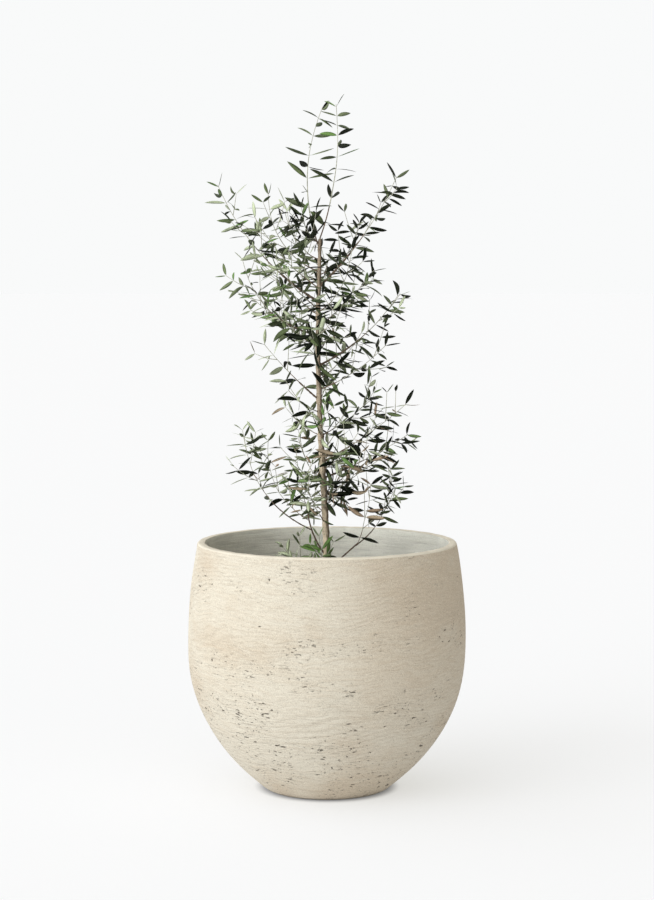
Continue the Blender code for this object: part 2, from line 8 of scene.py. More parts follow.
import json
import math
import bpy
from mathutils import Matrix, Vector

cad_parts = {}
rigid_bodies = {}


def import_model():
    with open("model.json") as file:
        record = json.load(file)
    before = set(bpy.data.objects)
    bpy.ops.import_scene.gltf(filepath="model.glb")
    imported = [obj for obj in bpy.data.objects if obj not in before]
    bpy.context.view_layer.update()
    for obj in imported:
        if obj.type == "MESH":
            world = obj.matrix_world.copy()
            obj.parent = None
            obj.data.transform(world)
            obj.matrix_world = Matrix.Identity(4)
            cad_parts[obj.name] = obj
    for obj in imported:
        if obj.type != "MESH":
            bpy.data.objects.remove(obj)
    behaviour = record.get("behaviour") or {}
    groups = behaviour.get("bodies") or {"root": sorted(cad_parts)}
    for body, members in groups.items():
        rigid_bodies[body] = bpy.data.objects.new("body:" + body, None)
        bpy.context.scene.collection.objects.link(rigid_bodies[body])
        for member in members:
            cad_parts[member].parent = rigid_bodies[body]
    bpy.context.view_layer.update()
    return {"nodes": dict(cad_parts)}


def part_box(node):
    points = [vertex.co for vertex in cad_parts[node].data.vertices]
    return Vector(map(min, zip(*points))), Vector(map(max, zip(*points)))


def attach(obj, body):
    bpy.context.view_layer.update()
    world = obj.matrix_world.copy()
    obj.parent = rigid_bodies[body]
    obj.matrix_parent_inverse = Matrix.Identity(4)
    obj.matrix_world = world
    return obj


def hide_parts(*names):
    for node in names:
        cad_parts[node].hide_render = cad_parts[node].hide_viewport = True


bl_info = {
    "name": "Potted olive tree",
    "version": (1, 0, 0),
    "blender": (4, 5, 0),
    "location": "3D View > Sidebar > Olive tree",
    "description": "Dresses the packed solids of a young olive tree in a stone planter",
    "category": "Add Mesh",
}

from collections import namedtuple

import bpy
import numpy as np

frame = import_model()
planter_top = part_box("planter")[1]
soil_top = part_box("soil")[1]
trunk_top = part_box("trunk")[1]
foliage_nodes = sorted(node for node in frame["nodes"] if node.startswith("foliage_"))
foliage_boxes = np.array([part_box(node) for node in foliage_nodes])
bough_nodes = sorted(node for node in frame["nodes"] if node.startswith("bough_"))

# ---- shared courses, as in the part ----
TRUNK_COURSE = (  # height, x, y: a slight lean to the left with a little sway
    (soil_top.z, 0.001, 0.000),
    (0.560, -0.004, 0.002),
    (0.720, -0.013, -0.002),
    (0.900, -0.018, 0.002),
    (trunk_top.z, -0.014, 0.000),
)
FOOT_RADIUS_LEAST = 0.0013
FOOT_RADIUS_PER_METRE = 0.0040
BRANCH_SHARE = 0.9  # of its parent's radius that a limb's foot may have at most
BARE_TAPER = 0.8  # tip radius of a limb that only carries others, as a share of its foot
TIP_RADIUS = 0.0006
PATH_STEPS = 40

# How the leaves of a spray grow: the way between pairs, the leaf's length and its width as
# a share of it, its angle to the stem, how much of its rise it keeps, how far it sags, the
# power by which pairs get closer towards the tip, and how many in a hundred are deep,
# dark, green, silvery, young and dry.
Spray = namedtuple("Spray", "between length width spread rise sag closing colours")
SPRAYS = {
    "leader": Spray(0.0215, 0.049, 0.215, 62, 1.0, 0.55, 0.66, (10, 38, 33, 4, 15, 0)),
    "tuft": Spray(0.0105, 0.048, 0.210, 66, 0.9, 0.20, 0.82, (62, 24, 7, 3, 4, 0)),
    "light": Spray(0.0220, 0.044, 0.215, 72, 0.5, 0.12, 0.74, (6, 22, 34, 26, 12, 0)),
    "leafy": Spray(0.0190, 0.043, 0.215, 70, 0.5, 0.20, 0.82, (22, 26, 26, 20, 6, 0)),
    "shady": Spray(0.0195, 0.045, 0.225, 68, 0.7, 0.25, 0.82, (66, 21, 6, 5, 2, 0)),
    "whorl": Spray(0.0150, 0.053, 0.205, 78, 0.8, 0.50, 0.82, (58, 22, 10, 8, 2, 0)),
    "drooping": Spray(0.0205, 0.047, 0.195, 66, 0.6, 0.55, 0.82, (12, 18, 20, 45, 2, 3)),
    "bright": Spray(0.0170, 0.041, 0.215, 62, 0.8, 0.15, 0.82, (12, 18, 28, 16, 26, 0)),
    "mixed": Spray(0.0180, 0.043, 0.215, 68, 0.6, 0.35, 0.82, (44, 18, 9, 12, 3, 14)),
    "low": Spray(0.0180, 0.041, 0.215, 68, 0.6, 0.25, 0.82, (8, 21, 29, 32, 4, 6)),
    "pale": Spray(0.0130, 0.036, 0.250, 62, 1.0, 0.10, 0.82, (0, 0, 15, 80, 5, 0)),
    "fresh": Spray(0.0130, 0.040, 0.230, 50, 1.0, 0.10, 0.82, (0, 5, 25, 0, 70, 0)),
}
SPRAYS["dim"] = SPRAYS["leafy"]._replace(colours=(50, 26, 11, 10, 3, 0))
SPRAYS["dim_low"] = SPRAYS["low"]._replace(colours=(42, 26, 14, 12, 4, 2))
SPRAYS["dim_bright"] = SPRAYS["bright"]._replace(colours=(34, 26, 16, 14, 8, 2))
SPRAYS["hanging"] = SPRAYS["leafy"]._replace(colours=(30, 18, 10, 14, 2, 26))
COLOURS = ("deep", "dark", "green", "silvery", "young", "dry")

# One row for each limb. It leaves its parent (the trunk at a height in metres, or
# another bough at a share of its course), heads to the turn in degrees seen from above
# (0 is +X, 90 is the back), and its tip lies at the reach and the rise from there. Bow
# is how far the curve's handle lies outwards of the straight way, as a share of it. The
# bare share is the bough, and the rest carries the leaves and the side twigs. Full is how
# many pairs it has, as a share of what its spray's spacing would give: 0.6 and 0.7 are
# sparse, 0.8 is usual, and 1.0 and 1.1 are dense. Its name starts its own random choices,
# as in the part.
Limb = namedtuple("Limb", "name parent at turn reach rise bow bare twigs spray full")
LIMBS = [
    Limb("leader_right", "trunk", trunk_top.z, -21, 0.034, 0.262, 0.12, 0.00, 0, "leader", 0.8),
    Limb("leader_left", "trunk", 1.078, 172, -0.006, 0.280, 0.20, 0.00, 0, "leader", 0.8),
    Limb("crown_tuft", "trunk", 1.089, 221, 0.046, 0.056, 0.23, 0.00, 6, "tuft", 0.8),
    Limb("upper_left_long", "trunk", 0.975, 172, 0.202, 0.231, 0.16, 0.30, 3, "light", 1.0),
    Limb("upper_left_inner", "trunk", 1.034, 205, 0.110, 0.156, 0.34, 0.00, 4, "light", 0.6),
    Limb("upper_left_back", "trunk", 1.058, 135, 0.098, 0.096, 0.28, 0.00, 4, "leafy", 0.6),
    Limb("upper_left_front", "trunk", 1.002, 222, 0.167, 0.140, 0.12, 0.00, 5, "leafy", 0.6),
    Limb("left_reach", "trunk", 0.909, 192, 0.152, 0.152, 0.32, 0.30, 4, "light", 0.8),
    Limb("left_low", "trunk", 0.883, 161, 0.148, 0.106, 0.04, 0.00, 5, "leafy", 0.7),
    Limb("left_back", "trunk", 0.949, 129, 0.164, 0.104, 0.10, 0.00, 5, "leafy", 0.7),
    Limb("left_front", "trunk", 0.962, 240, 0.163, 0.101, 0.12, 0.00, 5, "leafy", 0.6),
    Limb("left_front_low", "trunk", 0.889, 230, 0.146, 0.084, 0.10, 0.00, 5, "leafy", 0.7),
    Limb("left_back_low", "trunk", 0.895, 136, 0.150, 0.049, 0.10, 0.00, 4, "leafy", 0.8),
    Limb("upper_right_long", "trunk", 1.004, -11, 0.156, 0.217, 0.10, 0.36, 3, "dim", 1.0),
    Limb("upper_right_inner", "trunk", 1.028, 36, 0.101, 0.105, 0.28, 0.00, 4, "shady", 0.8),
    Limb("upper_right_front", "trunk", 0.955, -54, 0.113, 0.126, 0.28, 0.00, 4, "dim", 1.0),
    Limb("upper_right_side", "trunk", 0.923, 19, 0.118, 0.114, 0.06, 0.00, 4, "dim", 1.0),
    Limb("upper_back", "trunk", 0.992, 80, 0.126, 0.079, 0.14, 0.00, 4, "dim", 1.0),
    Limb("right_reach", "trunk", 0.848, 7, 0.160, 0.140, 0.14, 0.40, 3, "dim", 1.0),
    Limb("right_mid", "trunk", 0.800, -13, 0.136, 0.091, 0.11, 0.00, 4, "dim", 0.8),
    Limb("right_back", "trunk", 0.820, 54, 0.149, 0.091, 0.10, 0.00, 4, "dim", 1.0),
    Limb("right_front", "trunk", 0.876, -70, 0.140, 0.098, 0.12, 0.00, 4, "dim_low", 0.8),
    Limb("front_whorl", "trunk", 0.844, -96, 0.126, 0.095, 0.12, 0.00, 4, "whorl", 0.8),
    Limb("mid_left", "trunk", 0.780, 185, 0.110, 0.112, 0.05, 0.34, 2, "drooping", 0.7),
    Limb("mid_left_front", "trunk", 0.756, 232, 0.100, 0.049, 0.12, 0.00, 3, "drooping", 0.6),
    Limb("mid_left_back", "trunk", 0.710, 124, 0.098, 0.036, 0.12, 0.00, 3, "drooping", 0.7),
    Limb("mid_back", "trunk", 0.780, 78, 0.124, 0.058, 0.12, 0.00, 3, "leafy", 0.6),
    Limb("mid_front", "trunk", 0.700, -83, 0.069, 0.076, 0.16, 0.00, 3, "bright", 0.6),
    Limb("low_right_high", "trunk", 0.708, 30, 0.124, 0.076, 0.08, 0.00, 5, "dim_bright", 1.0),
    Limb("low_right_long", "trunk", 0.656, -3, 0.167, 0.117, 0.06, 0.30, 4, "mixed", 0.8),
    Limb("low_right_side", "trunk", 0.624, 19, 0.181, 0.083, 0.06, 0.30, 4, "dim", 1.0),
    Limb("low_right_whorl", "trunk", 0.640, -60, 0.138, 0.085, 0.10, 0.00, 5, "mixed", 0.8),
    Limb("low_right_hang", "trunk", 0.592, -37, 0.118, 0.074, 0.10, 0.00, 5, "hanging", 1.1),
    Limb("low_front", "trunk", 0.572, -78, 0.118, 0.071, 0.10, 0.00, 4, "mixed", 0.6),
    Limb("low_back", "trunk", 0.640, 84, 0.124, 0.063, 0.12, 0.00, 4, "mixed", 0.6),
    Limb("low_back_right", "trunk", 0.570, 62, 0.128, 0.051, 0.12, 0.00, 4, "mixed", 0.8),
    Limb("low_back_left", "trunk", 0.552, 119, 0.113, 0.067, 0.12, 0.00, 4, "low", 0.8),
    Limb("low_left_stem", "trunk", 0.532, 238, 0.081, 0.099, 0.10, 0.00, 4, "low", 0.7),
    Limb("low_left_high", "trunk", 0.606, 150, 0.056, 0.088, 0.12, 0.00, 3, "low", 0.8),
    Limb("foot_right", "trunk", 0.440, 0, 0.062, 0.054, 0.02, 1.00, 0, None, 0),
    Limb("foot_right_inner", "foot_right", 1.00, -58, 0.047, 0.123, 0.10, 0.00, 3, "mixed", 0.6),
    Limb("foot_right_outer", "foot_right", 0.86, 34, 0.090, 0.154, 0.34, 0.30, 5, "dim_low", 1.1),
    Limb("foot_left", "trunk", 0.466, 196, 0.039, 0.087, 0.14, 1.00, 0, None, 0),
    Limb("foot_left_upright", "foot_left", 1.00, 222, 0.032, 0.130, 0.04, 0.00, 3, "low", 0.8),
    Limb("foot_left_outer", "foot_left", 0.86, 160, 0.087, 0.162, 0.34, 0.00, 4, "low", 1.0),
    Limb("foot_left_far", "foot_left", 0.66, 195, 0.138, 0.191, 0.28, 0.40, 4, "low", 1.0),
    Limb("sprout_left", "trunk", 0.424, 208, 0.100, 0.068, 0.16, 0.00, 3, "pale", 0.8),
    Limb("sprout_near", "trunk", 0.430, -108, 0.052, 0.084, 0.12, 0.00, 2, "fresh", 0.8),
]

# ---- how twigs and leaves grow ----
TWIG_LENGTHS = (0.034, 0.058)
TWIG_SPREAD = math.radians(48)
TWIG_LIFT = 0.25  # of its length that a twig's tip turns up
TWIG_RADII = (0.0009, 0.0005)
TWIG_STEPS = 8
TWIG_FREE_FROM = 2  # step from which on a twig has to be clear of everything
FIRST_TWIG = 0.10  # shares of a stem between which its twigs leave
LAST_TWIG = 0.86
TWIG_SCATTER = (0.2, 0.8)  # where a twig leaves within its own share of the stem
TWIG_BETWEEN = 0.0160  # between the pairs of a side twig
TWIG_BARE = 0.34  # share of it before its first leaves
TWIG_LEAF_SIZE = 0.88
FIRST_PAIR = 0.10  # shares of a stem between which its leaves stand
LAST_PAIR = 0.98
YOUNG_SHRINK = 0.18  # of a leaf's length towards the stem's tip
BUD_SIZE = 0.72  # of the last pair
BUD_SPREAD = math.radians(42)
LEAF_LENGTHS = (0.78, 1.18)  # least and most, as shares of the spray's own
LEAF_WIDTHS = (0.85, 1.15)
LEAF_SPREADS = (0.72, 1.25)
LEAF_TWIST = 0.3  # radians off a pair's own plane
PAIR_TURN_SCATTER = 0.25
FACE_TO_TIP = 0.4  # how much a leaf's upper side looks along the stem
FACE_UP = 0.25  # and up
FACE_SCATTER = 0.6
LEAF_CURLS = (-0.04, 0.16)  # how far a leaf's tip bends under, as a share of its length
LEAF_FOLDS = (0.02, 0.30)  # how far its edges rise, as a share of its half width
LEAF_ROLLS = (-0.35, 0.35)  # how far it is twisted from stalk to tip
LEAF_BEND = 0.05  # how far it bends aside, as a share of its length
LIMB_CLEARANCE = 0.0012
POT_CLEARANCE = 0.003
REACH_MARGIN = 0.004  # past the solids' crown


# ---- settings ----


def colour_setting(name, description, default):
    """A colour that can be changed, as the plain colour of a surface."""
    return bpy.props.FloatVectorProperty(
        name=name, description=description, default=default, subtype="COLOR", min=0, max=1
    )


def length_setting(name, description, default):
    """A length in metres that can be changed."""
    return bpy.props.FloatProperty(
        name=name, description=description, default=default, min=0.0, unit="LENGTH"
    )


class OLIVE_PG_planter(bpy.types.PropertyGroup):
    """Sizes and colours of the planter and its soil."""

    height: length_setting("Height", "From the foot to the rim", planter_top.z)
    belly_radius: length_setting("Belly radius", "At the widest place", planter_top.x)
    belly_height: length_setting("Belly height", "Of the widest place", 0.300)
    rim_radius: length_setting("Rim radius", "Outside the rim", 0.2585)
    foot_radius: length_setting("Foot radius", "Of the flat foot", 0.1225)
    wall: length_setting("Wall", "Thickness of the wall", 0.015)
    soil_level: length_setting("Soil level", "Of the soil's middle", soil_top.z)
    stone: colour_setting("Stone", "Most of the outside", (0.686, 0.641, 0.536))
    stone_warm: colour_setting("Warm stone", "Tan patches and streaks", (0.585, 0.500, 0.385))
    # The pits' colour is painted shade inside them.
    stone_pit: colour_setting("Pits", "Inside the small pits", (0.070, 0.054, 0.038))
    inside: colour_setting("Inside", "The smooth inner wall", (0.920, 0.925, 0.835))
    soil: colour_setting("Soil", "Moist potting mix", (0.060, 0.040, 0.027))


class OLIVE_PG_tree(bpy.types.PropertyGroup):
    """Sizes and colours of the trunk, twigs and leaves."""

    radius_low: length_setting("Trunk radius below", "Above the root flare", 0.0070)
    radius_top: length_setting("Trunk radius above", "At the fork", 0.0031)
    flare: length_setting("Root flare", "Added to the radius at the soil", 0.0050)
    flare_height: length_setting("Flare height", "Over which the flare dies away", 0.018)
    seed: bpy.props.IntProperty(name="Seed", description="Of every random choice", default=7)
    bark: colour_setting("Bark", "Ridges of the trunk's bark", (0.800, 0.670, 0.500))
    # Dark bark also colours the painted shade on the trunk's side away from the key light.
    bark_dark: colour_setting("Dark bark", "Furrows of the bark", (0.075, 0.052, 0.034))
    bough: colour_setting("Bough", "Bark of boughs and woody shoots", (0.140, 0.098, 0.066))
    twig: colour_setting("Twig", "Young stems", (0.520, 0.520, 0.410))
    # Deep and dark green are in good part painted shade: the sprays of the shaded right side and of
    # the crown's core get most of them.
    deep: colour_setting("Deep green", "Old leaves, upper side", (0.006, 0.009, 0.004))
    dark: colour_setting("Dark green", "Leaves in the shade", (0.034, 0.048, 0.020))
    green: colour_setting("Green", "Leaves in the light", (0.106, 0.144, 0.058))
    silvery: colour_setting("Silvery", "Pale leaves", (0.455, 0.515, 0.345))
    young: colour_setting("Young", "Fresh leaves", (0.130, 0.238, 0.064))
    dry: colour_setting("Dry", "Dry leaves", (0.360, 0.290, 0.200))
    underside: colour_setting("Underside", "Of a green leaf", (0.250, 0.292, 0.180))


class OLIVE_PG_stage(bpy.types.PropertyGroup):
    """The floor, the light and the camera, which aren't part of the object."""

    floor: colour_setting("Floor", "Plain pale floor", (0.405, 0.414, 0.450))
    floor_glow: bpy.props.FloatProperty(
        name="Floor glow", description="Lights the floor's shadows up", default=0.545, min=0.0
    )
    backdrop: colour_setting("Backdrop", "Behind the object", (0.947, 0.955, 0.955))
    fill: bpy.props.FloatProperty(name="Fill", description="Light all round", default=1.0)
    left: colour_setting("Left light", "The sky's tint on the left", (1.0, 1.0, 1.0))
    right: colour_setting("Right light", "The sky's tint on the right", (1.0, 0.92, 0.74))
    key: bpy.props.FloatProperty(name="Key", description="Light from the left", default=1.45)
    distance: length_setting("Camera distance", "From the planter's axis", 4.5)
    camera_height: length_setting("Camera height", "Above the floor", 1.066)
    tilt: bpy.props.FloatProperty(
        name="Tilt", description="Camera's tilt down", default=math.radians(4.9), subtype="ANGLE"
    )
    lens: bpy.props.FloatProperty(
        name="Lens",
        description="Focal length in millimetres",
        default=90.64,
        subtype="DISTANCE_CAMERA",
    )


# ---- arrays ----


def unit(vectors):
    """Each vector divided by its length."""
    return vectors / np.linalg.norm(vectors, axis=-1, keepdims=True)


def crosswise(tangents):
    """Two unit vectors square to each tangent: its cross products with Z (or X), and again."""
    steep = np.abs(tangents[..., 2:3]) >= 0.9
    helper = np.where(steep, np.array([1.0, 0.0, 0.0]), np.array([0.0, 0.0, 1.0]))
    side = unit(np.cross(tangents, helper))
    return side, np.cross(tangents, side)


def waves(dice, count, around, between, size):
    """Terms (around, up, phase, size) of a relief that closes on itself round an axis.

    around are the least and most waves in a turn, between the least and most metres
    between two crests along the profile."""
    turns = dice.integers(around[0], around[1] + 1, count) * dice.choice([-1, 1], count)
    up = math.tau / dice.uniform(*between, count)
    return np.stack([turns, up, dice.uniform(0, math.tau, count), np.full(count, size)], 1)


def relief(terms, angle, way):
    """The sum over all terms of size * cos(around * angle + up * way + phase)."""
    total = np.zeros(np.broadcast(angle, way).shape)
    for turns, up, phase, size in terms:
        total += size * np.cos(turns * angle + up * way + phase)
    return total


def even_steps(profile, count):
    """Points at even distances along a polyline of (radius, height)."""
    profile = np.asarray(profile, float)
    steps = np.linalg.norm(np.diff(profile, axis=0), axis=1)
    way = np.concatenate([[0], np.cumsum(steps)])
    places = np.linspace(0, way[-1], count)
    return np.stack([np.interp(places, way, profile[:, k]) for k in (0, 1)], 1)


# ---- meshes ----


def grid_faces(rows, columns):
    """Four-sided faces of a grid of points, row by row, whose last column meets the first."""
    row, column = np.meshgrid(np.arange(rows - 1), np.arange(columns), indexing="ij")
    low, beside = row * columns, (column + 1) % columns
    corners = [low + column, low + beside, low + columns + beside, low + columns + column]
    return np.stack(corners, axis=-1).reshape(-1, 4)


def fan_faces(ring, pole, outward):
    """Three-sided faces from a ring of points to a pole."""
    beside = np.roll(ring, -1)
    pair = (ring, beside) if outward else (beside, ring)
    return np.stack([*pair, np.full(len(ring), pole)], axis=-1)


def make_piece(name, points, faces, materials, kinds=None):
    """A smooth mesh object at the origin from an array of points and arrays of faces."""
    mesh = bpy.data.meshes.new(name)
    points = np.asarray(points, np.float32).reshape(-1, 3)
    corners = np.concatenate([f.ravel() for f in faces]).astype(np.int32)
    sizes = np.concatenate([np.full(len(f), f.shape[1]) for f in faces])
    starts = np.concatenate([[0], np.cumsum(sizes)[:-1]]).astype(np.int32)
    mesh.vertices.add(len(points))
    mesh.vertices.foreach_set("co", points.ravel())
    mesh.loops.add(len(corners))
    mesh.loops.foreach_set("vertex_index", corners)
    mesh.polygons.add(len(sizes))
    mesh.polygons.foreach_set("loop_start", starts)
    for material in materials:
        mesh.materials.append(material)
    if kinds is not None:
        mesh.polygons.foreach_set("material_index", np.asarray(kinds, np.int32))
    mesh.update(calc_edges=True)
    mesh.shade_smooth()
    if mesh.validate():
        raise RuntimeError(f"{name} has faces that Blender had to mend")
    made = bpy.data.objects.new(name, mesh)
    bpy.context.scene.collection.objects.link(made)
    return made


def keep_values(piece, name, values):
    """Stores a number for each point of the piece, for its material to read."""
    kept = piece.data.attributes.new(name, "FLOAT", "POINT")
    kept.data.foreach_set("value", np.asarray(values, np.float32).ravel())


def dress(piece, slot, *nodes):
    """The piece rides on the only body and stands for the nodes. Its slot is not used."""
    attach(piece, "root")
    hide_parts(*nodes)


def turned_points(profile, normals, heights, columns):
    """A profile of (radius, height) turned round Z and moved out along its normals by the
    heights, an array of rows by columns."""
    angle = np.arange(columns) * math.tau / columns
    radius = profile[:, 0, None] + normals[:, 0, None] * heights
    level = profile[:, 1, None] + normals[:, 1, None] * heights
    return np.stack([radius * np.cos(angle), radius * np.sin(angle), level], axis=-1)


def closed_by_poles(points, poles):
    """Points, rows by columns, and their faces, closed by a pole under and one over them."""
    rows, columns = points.shape[:2]
    ring = np.arange(columns)
    under = fan_faces(ring, rows * columns, False)
    over = fan_faces((rows - 1) * columns + ring, rows * columns + 1, True)
    corners = np.concatenate([points.reshape(-1, 3), poles])
    return corners, [grid_faces(rows, columns), under, over]


def profile_normals(profile):
    """Unit vectors square to a profile, to the right of its way."""
    along = np.gradient(profile, axis=0)
    return unit(np.stack([along[:, 1], -along[:, 0]], 1))


def tube_points(paths, normals, radii, sides):
    """Round tubes along paths. Each ring is the path's point plus the radius times the
    cosine of the angle along the normal and its sine along the cross product of both.

    paths is (tubes, rings, 3), normals (tubes, 3) and radii (tubes, rings)."""
    tangent = unit(np.gradient(paths, axis=1))
    side = normals[:, None] - tangent * np.sum(normals[:, None] * tangent, -1, keepdims=True)
    side = unit(side)[:, :, None]
    other = np.cross(tangent[:, :, None], side)
    angle = (np.arange(sides) * math.tau / sides)[:, None]
    reach = radii[:, :, None, None]
    return paths[:, :, None] + (side * np.cos(angle) + other * np.sin(angle)) * reach


def tube_faces(tubes, rings, sides):
    """The walls and the two end caps of tubes whose points follow each other."""
    first = (np.arange(tubes) * rings * sides)[:, None, None]
    walls = (grid_faces(rings, sides)[None] + first).reshape(-1, 4)
    cap = np.arange(sides)
    bottom = cap[::-1][None] + first[:, 0]
    top = (cap + (rings - 1) * sides)[None] + first[:, 0]
    return walls, bottom, top


# ---- materials ----


class Finish:
    """A Principled material whose nodes are added one by one."""

    def __init__(self, name, roughness, specular=0.5):
        self.material = bpy.data.materials.new(name)
        self.material.use_nodes = True
        self.tree = self.material.node_tree
        self.shader = self.tree.nodes["Principled BSDF"]
        self.shader.inputs["Roughness"].default_value = roughness
        self.shader.inputs["Specular IOR Level"].default_value = specular
        self.place = self.add("ShaderNodeTexCoord").outputs["Object"]
        split = self.add("ShaderNodeSeparateXYZ")
        self.join(self.place, split.inputs[0])
        self.across, self.level = split.outputs["X"], split.outputs["Z"]

    def add(self, kind, **settings):
        """A new node with its settings."""
        node = self.tree.nodes.new(kind)
        for key, value in settings.items():
            setattr(node, key, value)
        return node

    def join(self, output, socket):
        """A link from one node to another."""
        self.tree.links.new(output, socket)

    def stretched(self, scale, warp=None, by=0.0):
        """Object coordinates times a scale on each axis, pushed about by a noise."""
        source = self.place
        if warp is not None:
            push = self.add("ShaderNodeVectorMath", operation="SCALE")
            centred = self.add("ShaderNodeVectorMath", operation="SUBTRACT")
            moved = self.add("ShaderNodeVectorMath", operation="ADD")
            self.join(warp, centred.inputs[0])
            centred.inputs[1].default_value = (0.5, 0.5, 0.5)
            self.join(centred.outputs[0], push.inputs[0])
            push.inputs["Scale"].default_value = by
            self.join(self.place, moved.inputs[0])
            self.join(push.outputs[0], moved.inputs[1])
            source = moved.outputs[0]
        mapping = self.add("ShaderNodeMapping")
        mapping.inputs["Scale"].default_value = scale
        self.join(source, mapping.inputs["Vector"])
        return mapping.outputs[0]

    def noise(self, vector, scale=1.0, detail=3.0, rough=0.55, output="Fac"):
        """A noise pattern that changes scale times over a unit of the vector."""
        node = self.add("ShaderNodeTexNoise")
        node.inputs["Scale"].default_value = scale
        node.inputs["Detail"].default_value = detail
        node.inputs["Roughness"].default_value = rough
        self.join(vector, node.inputs["Vector"])
        return node.outputs[output]

    def attribute(self, name):
        """A number that the mesh keeps at each of its points."""
        return self.add("ShaderNodeAttribute", attribute_name=name).outputs["Fac"]

    def span(self, value, low, high, least=0.0, most=1.0):
        """The value's way from low to high, carried smoothly over to least and most."""
        node = self.add("ShaderNodeMapRange", interpolation_type="SMOOTHSTEP")
        ends = {"From Min": low, "From Max": high, "To Min": least, "To Max": most}
        for key, number in ends.items():
            node.inputs[key].default_value = number
        self.join(value, node.inputs["Value"])
        return node.outputs[0]

    def calc(self, operation, one, other):
        """One and other put together by a Math operation, each a number or an output."""
        node = self.add("ShaderNodeMath", operation=operation)
        for socket, value in zip(node.inputs, (one, other)):
            if isinstance(value, float):
                socket.default_value = value
            else:
                self.join(value, socket)
        return node.outputs[0]

    def mixed(self, share, one, other):
        """Colours one and other, each a colour or an output, by a share."""
        node = self.add("ShaderNodeMix", data_type="RGBA")
        self.join(share, node.inputs["Factor"])
        for socket, colour in zip((node.inputs[6], node.inputs[7]), (one, other)):
            if isinstance(colour, bpy.types.NodeSocket):
                self.join(colour, socket)
            else:
                socket.default_value = (*colour, 1.0)
        return node.outputs[2]

    def bumped(self, height, distance, strength=1.0, under=None):
        """A bump of so many metres by the height, laid over another one."""
        node = self.add("ShaderNodeBump")
        node.inputs["Strength"].default_value = strength
        node.inputs["Distance"].default_value = distance
        self.join(height, node.inputs["Height"])
        if under is not None:
            self.join(under, node.inputs["Normal"])
        return node.outputs[0]

    def done(self, colour, roughness=None, normal=None):
        """The material, with its colour and what else varies over it linked in."""
        self.join(colour, self.shader.inputs["Base Color"])
        if roughness is not None:
            self.join(roughness, self.shader.inputs["Roughness"])
        if normal is not None:
            self.join(normal, self.shader.inputs["Normal"])
        return self.material


def shade(colour, factor):
    """The colour made lighter or darker."""
    return tuple(min(1.0, c * factor) for c in colour)


# How often a noise changes to a metre along X, Y and Z.
STRATA = (16.0, 16.0, 210.0)
THREADS = (55.0, 55.0, 520.0)
BROAD_PATCHES = (3.6, 3.6, 6.0)
PIT_CROWDS = (8.0, 8.0, 13.0)
INSIDE_MARKS = (14.0, 14.0, 170.0)
BARK_FURROW_LINES = (270.0, 270.0, 34.0)
BARK_RING_LINES = (34.0, 34.0, 330.0)
BARK_PATCHES = (60.0, 60.0, 26.0)
STONE_GRAIN = 560.0
INSIDE_GRAIN = 300.0
RIM_GRAIN = 260.0
PIT_EDGE_GRAIN = 300.0
# How a pattern is drawn out along X, Y and Z.
EVEN = (1.0, 1.0, 1.0)
DRAWN_UP = (1.0, 1.0, 0.6)
FINE_RATIO = 4.3  # how much finer the fine pattern of a mottled finish is
# Layers of pits, painted as dark specks for the shade inside them: how often the noise changes to a
# metre along X, Y and Z, the values between which a pit begins, and how dark it is.
PIT_LAYERS = (
    ((62, 62, 215), 0.660, 0.685, 1.0),
    ((150, 150, 420), 0.668, 0.700, 1.0),
    ((36, 36, 640), 0.675, 0.725, 0.4),
)


